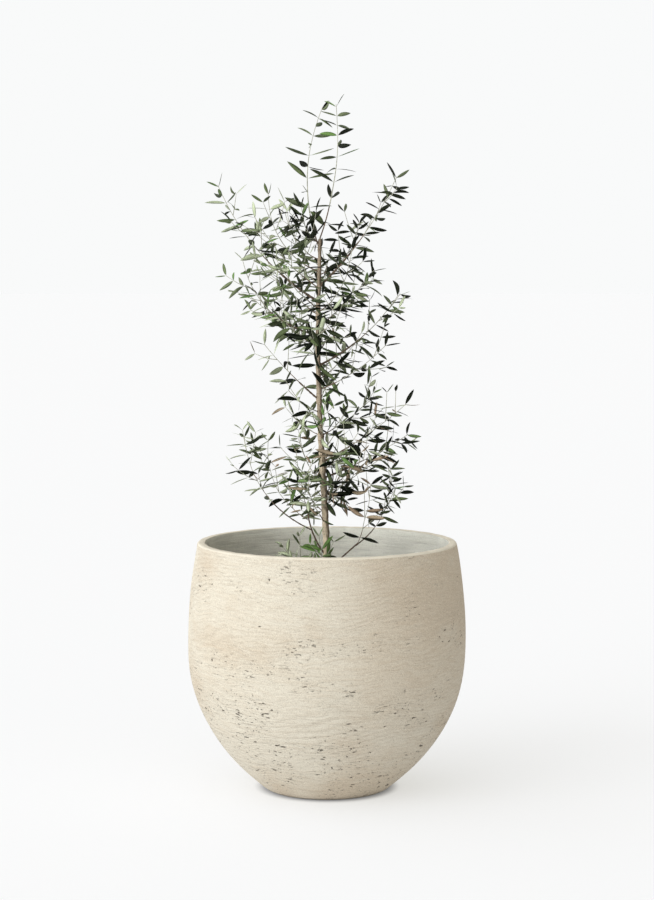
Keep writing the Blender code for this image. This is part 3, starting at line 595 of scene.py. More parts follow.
def stone_finish(planter):
    """Cast stone like travertine: level ripples, tan patches and small drawn-out pits, with painted
    shade in the ripples' dips, in the pits, on the side away from the key light and along the foot.
    """
    f = Finish("travertine_stone", 0.85, 0.25)
    wander = f.noise(f.place, 4.0, 3.0, output="Color")
    strata = f.noise(f.stretched(STRATA, wander, 0.110), detail=3.0, rough=0.55)
    threads = f.noise(f.stretched(THREADS, wander, 0.060), detail=3.0, rough=0.65)
    broad = f.noise(f.stretched(BROAD_PATCHES, wander, 0.080), detail=4.0, rough=0.6)
    grain = f.noise(f.place, STONE_GRAIN, 2.0, 0.7)
    in_patches = f.span(broad, 0.44, 0.70, 0.0, 0.75)
    tan_share = f.calc("ADD", in_patches, f.span(strata, 0.44, 0.66, 0.0, 0.30))
    # Warmer and darker towards +X and up the wall there, the side away from the key light: painted
    # warm shade, together with the stone's own tan on that side.
    to_the_right = f.span(f.across, 0.0, 0.11, 0.0, 0.6)
    upper_right = f.calc("MULTIPLY", to_the_right, f.span(f.level, 0.06, 0.30))
    at_foot = f.span(f.level, 0.090, 0.0, 0.0, 0.45)
    warm_share = f.calc("ADD", tan_share, f.calc("ADD", upper_right, at_foot))
    warm = planter.stone_warm
    body = f.mixed(warm_share, planter.stone, warm)
    # Painted shade: the ripples' dips are darker and warmer than their crests.
    in_dips = f.span(f.attribute("ripple"), 0.3, -0.9, 0.0, 0.26)
    rippled = f.mixed(in_dips, body, shade(warm, 0.78))
    lined = f.mixed(f.span(threads, 0.50, 0.70, 0.0, 0.34), rippled, shade(warm, 0.76))
    speckled = f.mixed(f.span(grain, 0.50, 0.70, 0.0, 0.55), lined, shade(planter.stone, 1.24))
    dusted = f.mixed(f.span(grain, 0.48, 0.28, 0.0, 0.60), speckled, shade(warm, 0.60))

    crowd = f.noise(f.stretched(PIT_CROWDS), detail=3.0, rough=0.6)
    lower = f.calc("ADD", crowd, f.span(f.level, 0.0, planter.height, 0.06, -0.07))
    cluster = f.span(lower, 0.475, 0.585)
    edge_noise = f.calc("MULTIPLY", f.noise(f.place, PIT_EDGE_GRAIN, 2.0), 0.6)
    pits = f.span(f.calc("ADD", f.attribute("pit"), edge_noise), 0.90, 1.08)
    for stretch, low, high, dark in PIT_LAYERS:
        speck = f.noise(f.stretched(stretch, wander, 0.030), detail=2.0, rough=0.6)
        some = f.calc("MULTIPLY", f.span(speck, low, high, 0.0, dark), cluster)
        pits = f.calc("MAXIMUM", pits, some)
    # Painted shade: the pits, the carved ones and the ones that are only bumped, are coloured near
    # black for the shade inside them.
    pitted = f.mixed(f.calc("MULTIPLY", pits, 0.90), dusted, planter.stone_pit)
    # Painted contact shadow: the wall's lowest few millimetres darken to a deep warm brown where
    # the foot meets the floor.
    painted_contact_shade = f.span(f.level, 0.0005, 0.0060, 0.75, 0.0)
    colour = f.mixed(painted_contact_shade, pitted, shade(warm, 0.35))

    fine = f.bumped(grain, 0.0006, 0.6)
    threaded = f.bumped(threads, 0.0014, 0.7, fine)
    layered = f.bumped(strata, 0.0032, 0.8, threaded)
    sunk = f.bumped(f.calc("SUBTRACT", 1.0, pits), 0.0022, 0.9, layered)
    return f.done(colour, f.span(broad, 0.3, 0.7, 0.78, 0.95), sunk)


def inside_finish(planter):
    """The planter's inner wall: smooth grey cast stone with faint level marks."""
    f = Finish("cast_inside", 0.9, 0.25)
    marks = f.noise(f.stretched(INSIDE_MARKS), detail=4.0)
    blotch = f.noise(f.place, 11.0, 3.0)
    base = f.mixed(f.span(blotch, 0.35, 0.7), planter.inside, shade(planter.inside, 0.86))
    lined = f.mixed(f.span(marks, 0.5, 0.3, 0.0, 0.50), base, shade(planter.inside, 0.66))
    grain = f.noise(f.place, INSIDE_GRAIN, 3.0)
    colour = f.mixed(f.span(grain, 0.5, 0.32, 0.0, 0.35), lined, shade(planter.inside, 0.70))
    normal = f.bumped(grain, 0.0007, 0.5)
    return f.done(colour, f.span(marks, 0.3, 0.7, 0.8, 0.95), f.bumped(marks, 0.0024, 0.7, normal))


def rim_finish(planter):
    """The rim's top: paler than the wall, with a fine grain."""
    f = Finish("rubbed_rim", 0.85, 0.3)
    grain = f.noise(f.place, RIM_GRAIN, 4.0, 0.65)
    blotch = f.noise(f.place, 24.0, 3.0)
    pale = shade(planter.stone, 1.08)
    base = f.mixed(f.span(blotch, 0.4, 0.7), pale, shade(planter.stone, 0.98))
    colour = f.mixed(f.span(grain, 0.58, 0.78, 0.0, 0.3), base, planter.stone_warm)
    return f.done(colour, f.span(blotch, 0.3, 0.7, 0.78, 0.92), f.bumped(grain, 0.0008, 0.5))


def mottled_finish(name, light, dark, scale, stretch, roughness, bump, specular=0.4):
    """A surface that wanders between two colours, with a bump of the same pattern and a
    finer one. roughness is a pair, the least and the most."""
    f = Finish(name, roughness[0], specular)
    vector = f.stretched(stretch)
    pattern = f.noise(vector, scale, 4.0, 0.6)
    fine = f.noise(vector, scale * FINE_RATIO, 3.0, 0.6)
    colour = f.mixed(f.span(pattern, 0.36, 0.66), light, dark)
    rough = f.span(fine, 0.3, 0.7, *roughness)
    return f.done(colour, rough, f.bumped(fine, bump, 0.5, f.bumped(pattern, bump * 2, 0.6)))


def bark_finish(tree):
    """The trunk's bark: furrows up it and dark rings round it over tan, with painted shade on the
    side away from the key light.
    """
    f = Finish("olive_bark", 0.8, 0.3)
    furrows = f.noise(f.stretched(BARK_FURROW_LINES), detail=4.0, rough=0.6)
    rings = f.noise(f.stretched(BARK_RING_LINES), detail=3.0, rough=0.6)
    patches = f.noise(f.stretched(BARK_PATCHES), detail=3.0)
    base = f.mixed(f.span(patches, 0.42, 0.64), tree.bark, shade(tree.bark, 0.76))
    aged = f.mixed(f.span(f.level, 0.50, 0.85, 0.0, 0.45), base, shade(tree.bough, 1.6))
    furrowed = f.mixed(f.span(furrows, 0.50, 0.68, 0.0, 0.40), aged, tree.bark_dark)
    ringed = f.mixed(f.span(rings, 0.56, 0.68, 0.0, 0.50), furrowed, tree.bark_dark)
    # Painted shade: the side away from the key light turns to the dark bark colour.
    damp = f.span(f.attribute("damp"), -0.05, 0.95, 0.0, 0.86)
    colour = f.mixed(damp, ringed, tree.bark_dark)
    normal = f.bumped(furrows, 0.0016, 0.8, f.bumped(rings, 0.0010, 0.6))
    return f.done(colour, f.span(furrows, 0.3, 0.7, 0.70, 0.92), normal)


def leaf_finish(name, colour, roughness, specular):
    """A leaf's skin: one plain colour that differs a little from leaf to leaf."""
    light, dark = shade(colour, 1.30), shade(colour, 0.70)
    return mottled_finish(name, light, dark, 26.0, EVEN, roughness, 0.0002, specular)


# ---- the planter and its soil ----

POT_COLUMNS = 384
WALL_ROWS = 206
WALL_STEPS = 400  # points that the wall's outline is measured on
UNDER_RINGS = 5
RIM_ROWS = 8
INSIDE_ROWS = 26
FLOOR_RINGS = 4
FADE_ROWS = 4  # over which the relief dies away at the foot and the rim
UPPER_BEND = 1.94  # exponent of the curve from the belly up to the rim
LOWER_BEND = 2.42  # exponent of the curve from the belly down to the foot
SLOPE_STEP = 0.002  # up and down from where the wall's slope is measured
RIM_ROUND = 0.005
LIP_WIDTH = 0.0015  # of the rim's inner edge, which is rounded
LIP_ROUND = 0.0004
FOOT_ROUND = 0.003
FOOT_CORNER = (0.3, 0.0009)  # its middle point: the share of it inwards, and its height
POT_FLOOR = 0.022
PIT_COUNT = 110
PIT_DEPTH = 0.0017
PIT_HALF_LENGTHS = (0.0035, 0.0075)
PIT_HALF_HEIGHTS = (0.0017, 0.0027)
PIT_PLACES = (1.5, 1.9)  # of a beta distribution up the wall, most of them in its middle
PIT_TILT = 0.3
RIPPLE_LENGTH = 0.0092
RIPPLE_DEPTH = 0.00015
VEIL_MIDDLE = 0.50
VEIL_LEAST = 0.1
# Waves of a relief: how many there are, the least and most in a turn, the least and most
# metres between two crests, and the size of each.
SWELLS = (8, (1, 4), (0.12, 0.40), 0.00018)
RIPPLE_SLANT = (5, (1, 4), (0.25, 0.70), 5.0)
RIPPLE_WOBBLE = (10, (5, 22), (0.05, 0.20), 0.35)
RIPPLE_VEIL = (6, (1, 4), (0.12, 0.40), 0.26)
RIM_DENTS = (10, (3, 40), (0.2, 0.5), 0.00012)
SOIL_ROLL = (12, (1, 9), (0.05, 0.2), 0.0005)
BARK_FURROWS = (22, (2, 9), (0.012, 0.070), 0.022)
BARK_RINGS = (8, (0, 1), (0.010, 0.030), 0.010)
BOUGH_FURROWS = (12, (1, 5), (0.05, 0.3), 0.03)


def outer_radius(p, height):
    """The planter's outside: a power curve up from the belly and another one down."""
    up = np.clip((height - p.belly_height) / (p.height - p.belly_height), 0, 1)
    down = np.clip((p.belly_height - height) / p.belly_height, 0, 1)
    above = (p.belly_radius - p.rim_radius) * up**UPPER_BEND
    below = (p.belly_radius - p.foot_radius) * down**LOWER_BEND
    return p.belly_radius - above - below


def inner_radius(p, height, inset):
    """The wall's inside: the outer curve moved in by the inset, square to itself."""
    above, below = outer_radius(p, height + SLOPE_STEP), outer_radius(p, height - SLOPE_STEP)
    slope = (above - below) / (2 * SLOPE_STEP)
    return outer_radius(p, height) - inset * np.hypot(1, slope)


def wall_relief(dice, profile, angle):
    """Swells of the hand, ripples that slant and wander round the wall, and pits cut in.

    A ripple is the cosine of the way up over its length plus a phase that wanders, times a
    veil. A pit is exp(-d * d), where d is the distance from its middle measured in its
    half length along the wall and its half height up it. Returns the relief, the ripples
    and how much each point lies in a pit."""
    steps = np.linalg.norm(np.diff(profile, axis=0), axis=1)
    way = np.concatenate([[0], np.cumsum(steps)])[:, None]
    swells = relief(waves(dice, *SWELLS), angle, way)
    slant = relief(waves(dice, *RIPPLE_SLANT), angle, way)
    wobble = relief(waves(dice, *RIPPLE_WOBBLE), angle, way)
    veil = VEIL_MIDDLE + relief(waves(dice, *RIPPLE_VEIL), angle, way)
    veil = np.clip(veil, VEIL_LEAST, 1)
    ripples = veil * np.cos(way * math.tau / RIPPLE_LENGTH + slant + wobble)
    pits = np.zeros(swells.shape)
    length = way[-1, 0]
    for _ in range(PIT_COUNT):
        turn, place = dice.uniform(0, math.tau), length * dice.beta(*PIT_PLACES)
        half_length = dice.uniform(*PIT_HALF_LENGTHS)
        half_height = dice.uniform(*PIT_HALF_HEIGHTS)
        tilt = dice.normal(0, PIT_TILT)
        around = (angle - turn + math.pi) % math.tau - math.pi
        across = around * profile[:, :1]
        rise = way - place - tilt * across
        near = np.exp(-((across / half_length) ** 2) - (rise / half_height) ** 2)
        pits = np.maximum(pits, near)
    return swells + RIPPLE_DEPTH * ripples - PIT_DEPTH * pits, ripples, pits


def planter_profile(p):
    """Three stretches of the planter's outline: from its foot's edge up the wall, round the
    rim, and from the rim's inner edge down to the floor."""
    heights = np.linspace(FOOT_ROUND, p.height - RIM_ROUND, WALL_STEPS)
    turn = np.linspace(0, math.pi / 2, RIM_ROWS)
    inwards, corner_height = FOOT_CORNER
    corner = (p.foot_radius - FOOT_ROUND * inwards, corner_height)
    foot = [(p.foot_radius - FOOT_ROUND, 0.0), corner]
    wall = np.stack([outer_radius(p, heights), heights], 1)
    rim_radius = outer_radius(p, p.height - RIM_ROUND) - RIM_ROUND * (1 - np.cos(turn))
    rim = np.stack([rim_radius, p.height - RIM_ROUND * (1 - np.sin(turn))], 1)
    edge = inner_radius(p, p.height, p.wall)
    lip = [(edge + LIP_WIDTH, p.height), (edge + LIP_ROUND, p.height - LIP_ROUND)]
    levels = np.linspace(p.height - LIP_WIDTH, POT_FLOOR, INSIDE_ROWS)
    inside = np.stack([inner_radius(p, levels, p.wall), levels], 1)
    return np.concatenate([foot, wall]), np.concatenate([rim[1:], lip]), inside


def build_planter(p, dice):
    """The turned wall with its relief, a rim and the inner wall, closed by two poles."""
    wall, rim, inside = planter_profile(p)
    wall = even_steps(wall, WALL_ROWS)
    under = np.linspace(0.2, 0.95, UNDER_RINGS) * wall[0, 0]
    under = np.stack([under, np.zeros(UNDER_RINGS)], 1)
    floor = np.linspace(0.9, 0.1, FLOOR_RINGS) * inside[-1, 0]
    floor = np.stack([floor, np.full(FLOOR_RINGS, POT_FLOOR)], 1)
    profile = np.concatenate([under, wall, rim, inside, floor])
    angle = np.arange(POT_COLUMNS) * math.tau / POT_COLUMNS
    heights = np.zeros((len(profile), POT_COLUMNS))
    marks = {"pit": np.zeros_like(heights), "ripple": np.zeros_like(heights)}
    rows = slice(len(under), len(under) + len(wall))
    carved, marks["ripple"][rows], marks["pit"][rows] = wall_relief(dice, wall, angle)
    row = np.arange(WALL_ROWS)
    fade = np.clip(np.minimum(row, WALL_ROWS - 1 - row) / FADE_ROWS, 0, 1)
    heights[rows] = carved * fade[:, None]
    dents = relief(waves(dice, *RIM_DENTS), angle, np.zeros((1, 1)))
    heights[rows.stop : rows.stop + len(rim)] = np.minimum(dents, 0)
    points = turned_points(profile, profile_normals(profile), heights, POT_COLUMNS)
    points, faces = closed_by_poles(points, [[0, 0, 0], [0, 0, POT_FLOOR]])
    row = np.repeat(np.arange(len(profile) - 1), POT_COLUMNS)
    kinds = np.where(row < rows.stop + 1, 0, np.where(row < rows.stop + len(rim), 1, 2))
    kinds = np.concatenate([kinds, np.zeros(POT_COLUMNS), np.full(POT_COLUMNS, 2)])
    finishes = [stone_finish(p), rim_finish(p), inside_finish(p)]
    made = make_piece("planter_wall", points, faces, finishes, kinds)
    for mark, values in marks.items():
        keep_values(made, mark, np.concatenate([values.ravel(), np.zeros(2)]))
    return made


SOIL_MOUND_RADIUS = 0.13
SOIL_EDGE_DROP = 0.008
SOIL_GAP = 0.0006
SOIL_COLUMNS = 240
SOIL_RINGS = 90
SOIL_SIDE_RINGS = 10
FIRST_RING = 0.004  # radius of the ring next to the middle
LUMP_SIZE = 0.0012
LUMP_HIGHEST = 0.003
LUMP_SMOOTHINGS = 2
CRUMBS = 900
CRUMB_SIZES = (0.0012, 0.0042)
CRUMB_STRETCHES = (0.5, 1.3)
CRUMB_ROUGHNESS = 0.16
CRUMB_LEAN = 0.4
CRUMB_OFF_WALL = 0.008
CRUMB_RISE = 0.0006
CHIP_COLOURS = ((0.200, 0.125, 0.075), (0.085, 0.050, 0.030))


def soil_height(p, radius):
    """Level out to the mound's edge, then sloping down to the wall."""
    edge = inner_radius(p, p.soil_level, p.wall)
    share = np.clip((radius - SOIL_MOUND_RADIUS) / (edge - SOIL_MOUND_RADIUS), 0, 1)
    return p.soil_level - SOIL_EDGE_DROP * share


def build_soil(p, dice):
    """The soil's crumbly top, and its sides and bottom inside the planter.

    The lumps are random heights, each added to its neighbours' a few times and scaled to
    their size, on a slow roll."""
    edge = float(inner_radius(p, p.soil_level - SOIL_EDGE_DROP, p.wall + SOIL_GAP))
    top = np.linspace(FIRST_RING, edge, SOIL_RINGS)
    deepest = POT_FLOOR + SOIL_GAP
    levels = np.linspace(p.soil_level - SOIL_EDGE_DROP, deepest, SOIL_SIDE_RINGS)[1:]
    sides = inner_radius(p, levels, p.wall + SOIL_GAP)
    outward = np.stack([top, soil_height(p, top)], 1)
    profile = np.concatenate([outward, np.stack([sides, levels], 1)])[::-1]
    heights = np.zeros((len(profile), SOIL_COLUMNS))
    lumps = dice.normal(0, 1, (SOIL_RINGS, SOIL_COLUMNS))
    for _ in range(LUMP_SMOOTHINGS):
        lumps = lumps + np.roll(lumps, 1, 1) + np.roll(lumps, -1, 1)
        lumps[1:-1] = lumps[1:-1] + lumps[:-2] + lumps[2:]
    lumps *= LUMP_SIZE / lumps.std()
    angle = np.arange(SOIL_COLUMNS) * math.tau / SOIL_COLUMNS
    lumps += relief(waves(dice, *SOIL_ROLL), angle, top[:, None])
    heights[-SOIL_RINGS:] = np.minimum(lumps[::-1], LUMP_HIGHEST)
    heights[-SOIL_RINGS] = 0
    normals = np.zeros((len(profile), 2))
    normals[:, 1] = 1
    points = turned_points(profile, normals, heights, SOIL_COLUMNS)
    points, faces = closed_by_poles(points, [[0, 0, levels[-1]], [0, 0, p.soil_level]])
    light, dark = shade(p.soil, 1.7), shade(p.soil, 0.5)
    finish = mottled_finish("potting_soil", light, dark, 160.0, EVEN, (0.85, 1.0), 0.0015)
    return make_piece("soil_bed", points, faces, [finish])


# The corners of a crumb's two rings, seen from above.
CRUMB_CORNERS = np.array(
    [[1, 0, 0], [0.5, 0.87, 0], [-0.5, 0.87, 0], [-1, 0, 0], [-0.5, -0.87, 0], [0.5, -0.87, 0]]
)


def build_crumbs(p, dice):
    """Bits of bark and clods on the soil: two six-cornered rings and a point over and under
    them, each stretched, turned and placed at random."""
    lower, upper = CRUMB_CORNERS * 0.8 + [0, 0, -0.35], CRUMB_CORNERS * 0.75 + [0, 0, 0.35]
    shape = np.concatenate([[[0, 0, -0.7]], lower, upper, [[0, 0, 0.7]]])
    size = dice.uniform(*CRUMB_SIZES, (CRUMBS, 1, 1))
    size = size * dice.uniform(*CRUMB_STRETCHES, (CRUMBS, 1, 3))
    bits = shape * (1 + dice.normal(0, CRUMB_ROUGHNESS, (CRUMBS, *shape.shape))) * size
    turn = dice.uniform(0, math.tau, CRUMBS)
    lean = dice.normal(0, CRUMB_LEAN, CRUMBS)
    # Leaning about X and then turning about Z, as one matrix for each crumb.
    c, s, u, v = np.cos(turn), np.sin(turn), np.cos(lean), np.sin(lean)
    zero = np.zeros(CRUMBS)
    spin = np.stack([c, -s * u, s * v, s, c * u, -c * v, zero, v, u], 1).reshape(-1, 3, 3)
    bits = np.einsum("nij,nkj->nki", spin, bits)
    reach = float(inner_radius(p, p.soil_level, p.wall)) - CRUMB_OFF_WALL
    radius = reach * np.sqrt(dice.uniform(0.004, 1, CRUMBS))
    angle = dice.uniform(0, math.tau, CRUMBS)
    level = soil_height(p, radius) + CRUMB_RISE
    bits += np.stack([radius * np.cos(angle), radius * np.sin(angle), level], 1)[:, None]
    corners = len(CRUMB_CORNERS)
    ring = np.arange(corners) + 1
    walls = grid_faces(2, corners) + 1
    under, over = fan_faces(ring, 0, False), fan_faces(ring + corners, len(shape) - 1, True)
    first = (np.arange(CRUMBS) * len(shape))[:, None, None]
    faces = [(f[None] + first).reshape(-1, f.shape[1]) for f in (walls, under, over)]
    light, dark = shade(p.soil, 1.4), shade(p.soil, 0.7)
    clods = mottled_finish("soil_clods", light, dark, 220.0, EVEN, (0.85, 1.0), 0.0006)
    chips = mottled_finish("bark_chips", *CHIP_COLOURS, 260.0, EVEN, (0.8, 0.95), 0.0004)
    chosen = dice.integers(0, 3, CRUMBS) // 2  # one in three is a chip
    kinds = np.concatenate([np.repeat(chosen, len(f)) for f in (walls, under, over)])
    return make_piece("soil_crumbs", bits.reshape(-1, 3), faces, [clods, chips], kinds)


# ---- courses of the limbs ----


def trunk_point(height):
    """The trunk's middle at each height: a smooth curve through the named course."""
    course = np.array(TRUNK_COURSE)
    heights = np.atleast_1d(np.asarray(height, float))
    i = np.clip(np.searchsorted(course[:, 0], heights) - 1, 0, len(course) - 2)
    start, end = course[i], course[i + 1]
    before, after = course[np.maximum(i - 1, 0)], course[np.minimum(i + 2, len(course) - 1)]
    share = ((heights - start[:, 0]) / (end[:, 0] - start[:, 0]))[:, None]
    slope_in, slope_out = (end - before) / 2, (after - start) / 2
    place = (
        start * (1 + 2 * share) * (1 - share) ** 2
        + end * share**2 * (3 - 2 * share)
        + slope_in * share * (1 - share) ** 2
        - slope_out * share**2 * (1 - share)
    )
    return np.stack([place[:, 1], place[:, 2], heights], 1)


def trunk_radius(tree, height):
    """A straight taper from soil to fork, plus a flare that dies away above the soil."""
    low = TRUNK_COURSE[0][0]
    share = (height - low) / (TRUNK_COURSE[-1][0] - low)
    flare = tree.flare * np.exp(-(height - low) / tree.flare_height)
    return tree.radius_low + (tree.radius_top - tree.radius_low) * share + flare


def along(curves, which, share):
    """Points and unit tangents at shares of polylines, an array (curves, points, 3)."""
    place = share * (curves.shape[1] - 1)
    i = np.clip(place.astype(int), 0, curves.shape[1] - 2)
    start, step = curves[which, i], curves[which, i + 1] - curves[which, i]
    return start + step * (place - i)[:, None], unit(step)


def part_of(curve, start, end, count):
    """A stretch of one polyline, with its points at even shares."""
    shares = np.linspace(start, end, count)
    return along(curve[None], np.zeros(count, int), shares)[0]


def limb_curves():
    """The points of every limb, on the same course as in the part, and its radii at foot
    and tip.

    A limb is the quadratic curve from its foot over a bowed handle to its tip."""
    curves, radii = {}, {}
    shares = np.linspace(0, 1, PATH_STEPS + 1)[:, None]
    for limb in LIMBS:
        turn = math.radians(limb.turn)
        outward, up = np.array([math.cos(turn), math.sin(turn), 0]), np.array([0, 0, 1.0])
        if limb.parent == "trunk":
            foot = trunk_point(limb.at)[0]
        else:
            foot = part_of(curves[limb.parent], limb.at, limb.at, 1)[0]
        tip = foot + outward * limb.reach + up * limb.rise
        handle = (foot + tip) / 2 + (outward * limb.rise - up * limb.reach) * limb.bow
        curve = foot * (1 - shares) ** 2 + handle * 2 * shares * (1 - shares) + tip * shares**2
        length = np.linalg.norm(np.diff(curve, axis=0), axis=1).sum()
        thick = FOOT_RADIUS_LEAST + FOOT_RADIUS_PER_METRE * length
        if limb.parent != "trunk":
            low, high = radii[limb.parent]
            thick = min(thick, (low + (high - low) * limb.at) * BRANCH_SHARE)
        thin = TIP_RADIUS if limb.spray else thick * BARE_TAPER
        curves[limb.name], radii[limb.name] = curve, (thick, thin)
    return curves, radii


def plane_normals(limbs):
    """The unit vector square to the upright plane that each limb bends in."""
    turn = np.radians([limb.turn for limb in limbs])
    return np.stack([-np.sin(turn), np.cos(turn), np.zeros(len(turn))], 1)


# ---- trunk and boughs ----

TRUNK_SIDES = 36
TRUNK_RINGS = 430
DOME_RINGS = 8
DOME_HEIGHT = 0.0035
DOME_TURN = 0.97 * math.pi / 2  # up to which the rounded top follows its curves
# The trunk's painted shade: the side where it is darkest, seen from above, away from the key light,
# and how far it wanders with the furrows.
SHADED_SIDE = math.radians(-8)  # seen from above
SHADE_WANDER = 3.0  # times the furrows
BOUGH_SIDES = 14
BOUGH_RINGS = 70
BOUGH_KNOTS = 6  # along each bough
BOUGH_KNOT_SIZE = 0.14  # of the radius
BOUGH_KNOT_WIDTH = 0.01  # squared, as a share of the way between two of them
ROOT_LOBES = 5
ROOT_LOBE_SIZE = 0.25  # of the radius
ROOT_LOBE_HEIGHT = 0.02
KNOT_SIZE = 0.0011
KNOT_HALF_HEIGHT = 0.005
KNOT_ALL_ROUND = 0.35  # of the swelling under a limb that goes right round the trunk
KNOT_NARROWNESS = 3  # of the rest, round the trunk


def build_trunk(tree, dice):
    """The trunk as a tube whose radius has furrows, rings and a swelling under each limb.

    A swelling is its size * exp(-(height / its half height)^2), stronger on the limb's own
    side. The root lobes are a cosine round the trunk that dies away above the soil. The
    rounded top between the leaders follows a sine up and a cosine in. The bark gets painted
    shade by the cosine of the turn away from its shaded side, which wanders with the furrows."""
    low, high = TRUNK_COURSE[0][0], TRUNK_COURSE[-1][0]
    dome = np.linspace(0, DOME_TURN, DOME_RINGS)
    shaft = np.linspace(low, high - DOME_HEIGHT, TRUNK_RINGS, endpoint=False)
    level = np.concatenate([shaft, high - DOME_HEIGHT * (1 - np.sin(dome))])
    angle = np.arange(TRUNK_SIDES) * math.tau / TRUNK_SIDES
    up = level[:, None]
    radius = trunk_radius(tree, level)[:, None]
    furrows = relief(waves(dice, *BARK_FURROWS), angle, up)
    rings = relief(waves(dice, *BARK_RINGS), angle, up)
    radius = radius * (1 + furrows + rings)
    lobes = np.cos(ROOT_LOBES * angle + 1.0) * np.exp(-(up - low) / ROOT_LOBE_HEIGHT)
    radius = radius * (1 + ROOT_LOBE_SIZE * lobes)
    for limb in LIMBS:
        if limb.parent == "trunk":
            around = np.cos(angle - math.radians(limb.turn))
            own_side = (1 - KNOT_ALL_ROUND) * np.exp(KNOT_NARROWNESS * (around - 1))
            swelling = KNOT_SIZE * np.exp(-(((up - limb.at) / KNOT_HALF_HEIGHT) ** 2))
            radius = radius + swelling * (KNOT_ALL_ROUND + own_side)
    radius[-DOME_RINGS:] *= np.cos(dome)[:, None]
    centre = trunk_point(level)[:, None]
    ring = np.stack([np.cos(angle), np.sin(angle), np.zeros(TRUNK_SIDES)], 1)
    points = centre + ring * radius[..., None]
    walls, bottom, top = tube_faces(1, len(level), TRUNK_SIDES)
    made = make_piece("trunk_bark", points, [walls, bottom, top], [bark_finish(tree)])
    keep_values(made, "damp", np.cos(angle - SHADED_SIDE) + SHADE_WANDER * furrows)
    return made


def build_boughs(tree, dice):
    """The bare limbs, each a tapering tube with furrows and small knots along it.

    A knot is its size * exp(-distance^2 / width), and they follow each other evenly."""
    curves, radii = limb_curves()
    limbs = [limb for limb in LIMBS if limb.bare]
    paths = np.stack([part_of(curves[limb.name], 0, limb.bare, BOUGH_RINGS) for limb in limbs])
    shares = np.linspace(0, 1, BOUGH_RINGS)
    ends = np.array([radii[limb.name] for limb in limbs])
    bare = np.array([limb.bare for limb in limbs])[:, None]
    thick = ends[:, :1] + (ends[:, 1:] - ends[:, :1]) * shares * bare
    from_knot = (shares * BOUGH_KNOTS) % 1 - 0.5
    knots = 1 + BOUGH_KNOT_SIZE * np.exp(-(from_knot**2) / BOUGH_KNOT_WIDTH)
    points = tube_points(paths, plane_normals(limbs), thick * knots, BOUGH_SIDES)
    angle = np.arange(BOUGH_SIDES) * math.tau / BOUGH_SIDES
    rough = 1 + relief(waves(dice, *BOUGH_FURROWS), angle, shares[:, None])
    points = paths[:, :, None] + (points - paths[:, :, None]) * rough[None, :, :, None]
    faces = tube_faces(len(limbs), BOUGH_RINGS, BOUGH_SIDES)
    light, dark = shade(tree.bough, 1.2), shade(tree.bough, 0.55)
    finish = mottled_finish("bough_bark", light, dark, 130.0, DRAWN_UP, (0.7, 0.9), 0.0006)
    return make_piece("boughs_bark", points, faces, [finish])


# ---- shoots: stems, side twigs and leaves ----

STEM_SIDES = 8
STEM_STEPS = 34
STEM_SLIMNESS = 0.62  # of the solid's stem radius
TWIG_SIDES = 6
STEM_SWAY = 0.0014
STEM_WAVES = (9, 16)  # radians of its sway from foot to tip
WOODY_SHARE = 0.22  # of a stem that is brown
# Leaves hold arrays with a row for each leaf: the root, the unit vectors of its heading
# and its upper face, its sizes and shape, and the number of its colour.
Leaves = namedtuple("Leaves", "root heading face length width curl fold roll bend colour")
Shoot = namedtuple("Shoot", "stem normal radii twigs leaves")


def clears(tree, planter, probes):
    """Whether the points (leaves, probes, 3) keep off the trunk, the planter and the soil,
    and inside the reach of the solids' crown."""
    x, y, z = probes[..., 0], probes[..., 1], probes[..., 2]
    level = np.clip(z, TRUNK_COURSE[0][0], TRUNK_COURSE[-1][0])
    middle = trunk_point(level.ravel()).reshape(*level.shape, 3)
    away = np.hypot(x - middle[..., 0], y - middle[..., 1])
    beyond = z > TRUNK_COURSE[-1][0] + LIMB_CLEARANCE
    off_trunk = beyond | (away > trunk_radius(tree, level) + LIMB_CLEARANCE)
    wall = inner_radius(planter, np.minimum(z, planter.height), planter.wall)
    off_pot = (z > planter.height + POT_CLEARANCE) | (np.hypot(x, y) < wall - POT_CLEARANCE)
    off_soil = z > planter.soil_level + POT_CLEARANCE
    low = foliage_boxes[:, 0].min(0) - REACH_MARGIN
    high = foliage_boxes[:, 1].max(0) + REACH_MARGIN
    inside = ((probes > low) & (probes < high)).all(-1)
    return (off_trunk & off_pot & off_soil & inside).all(-1)


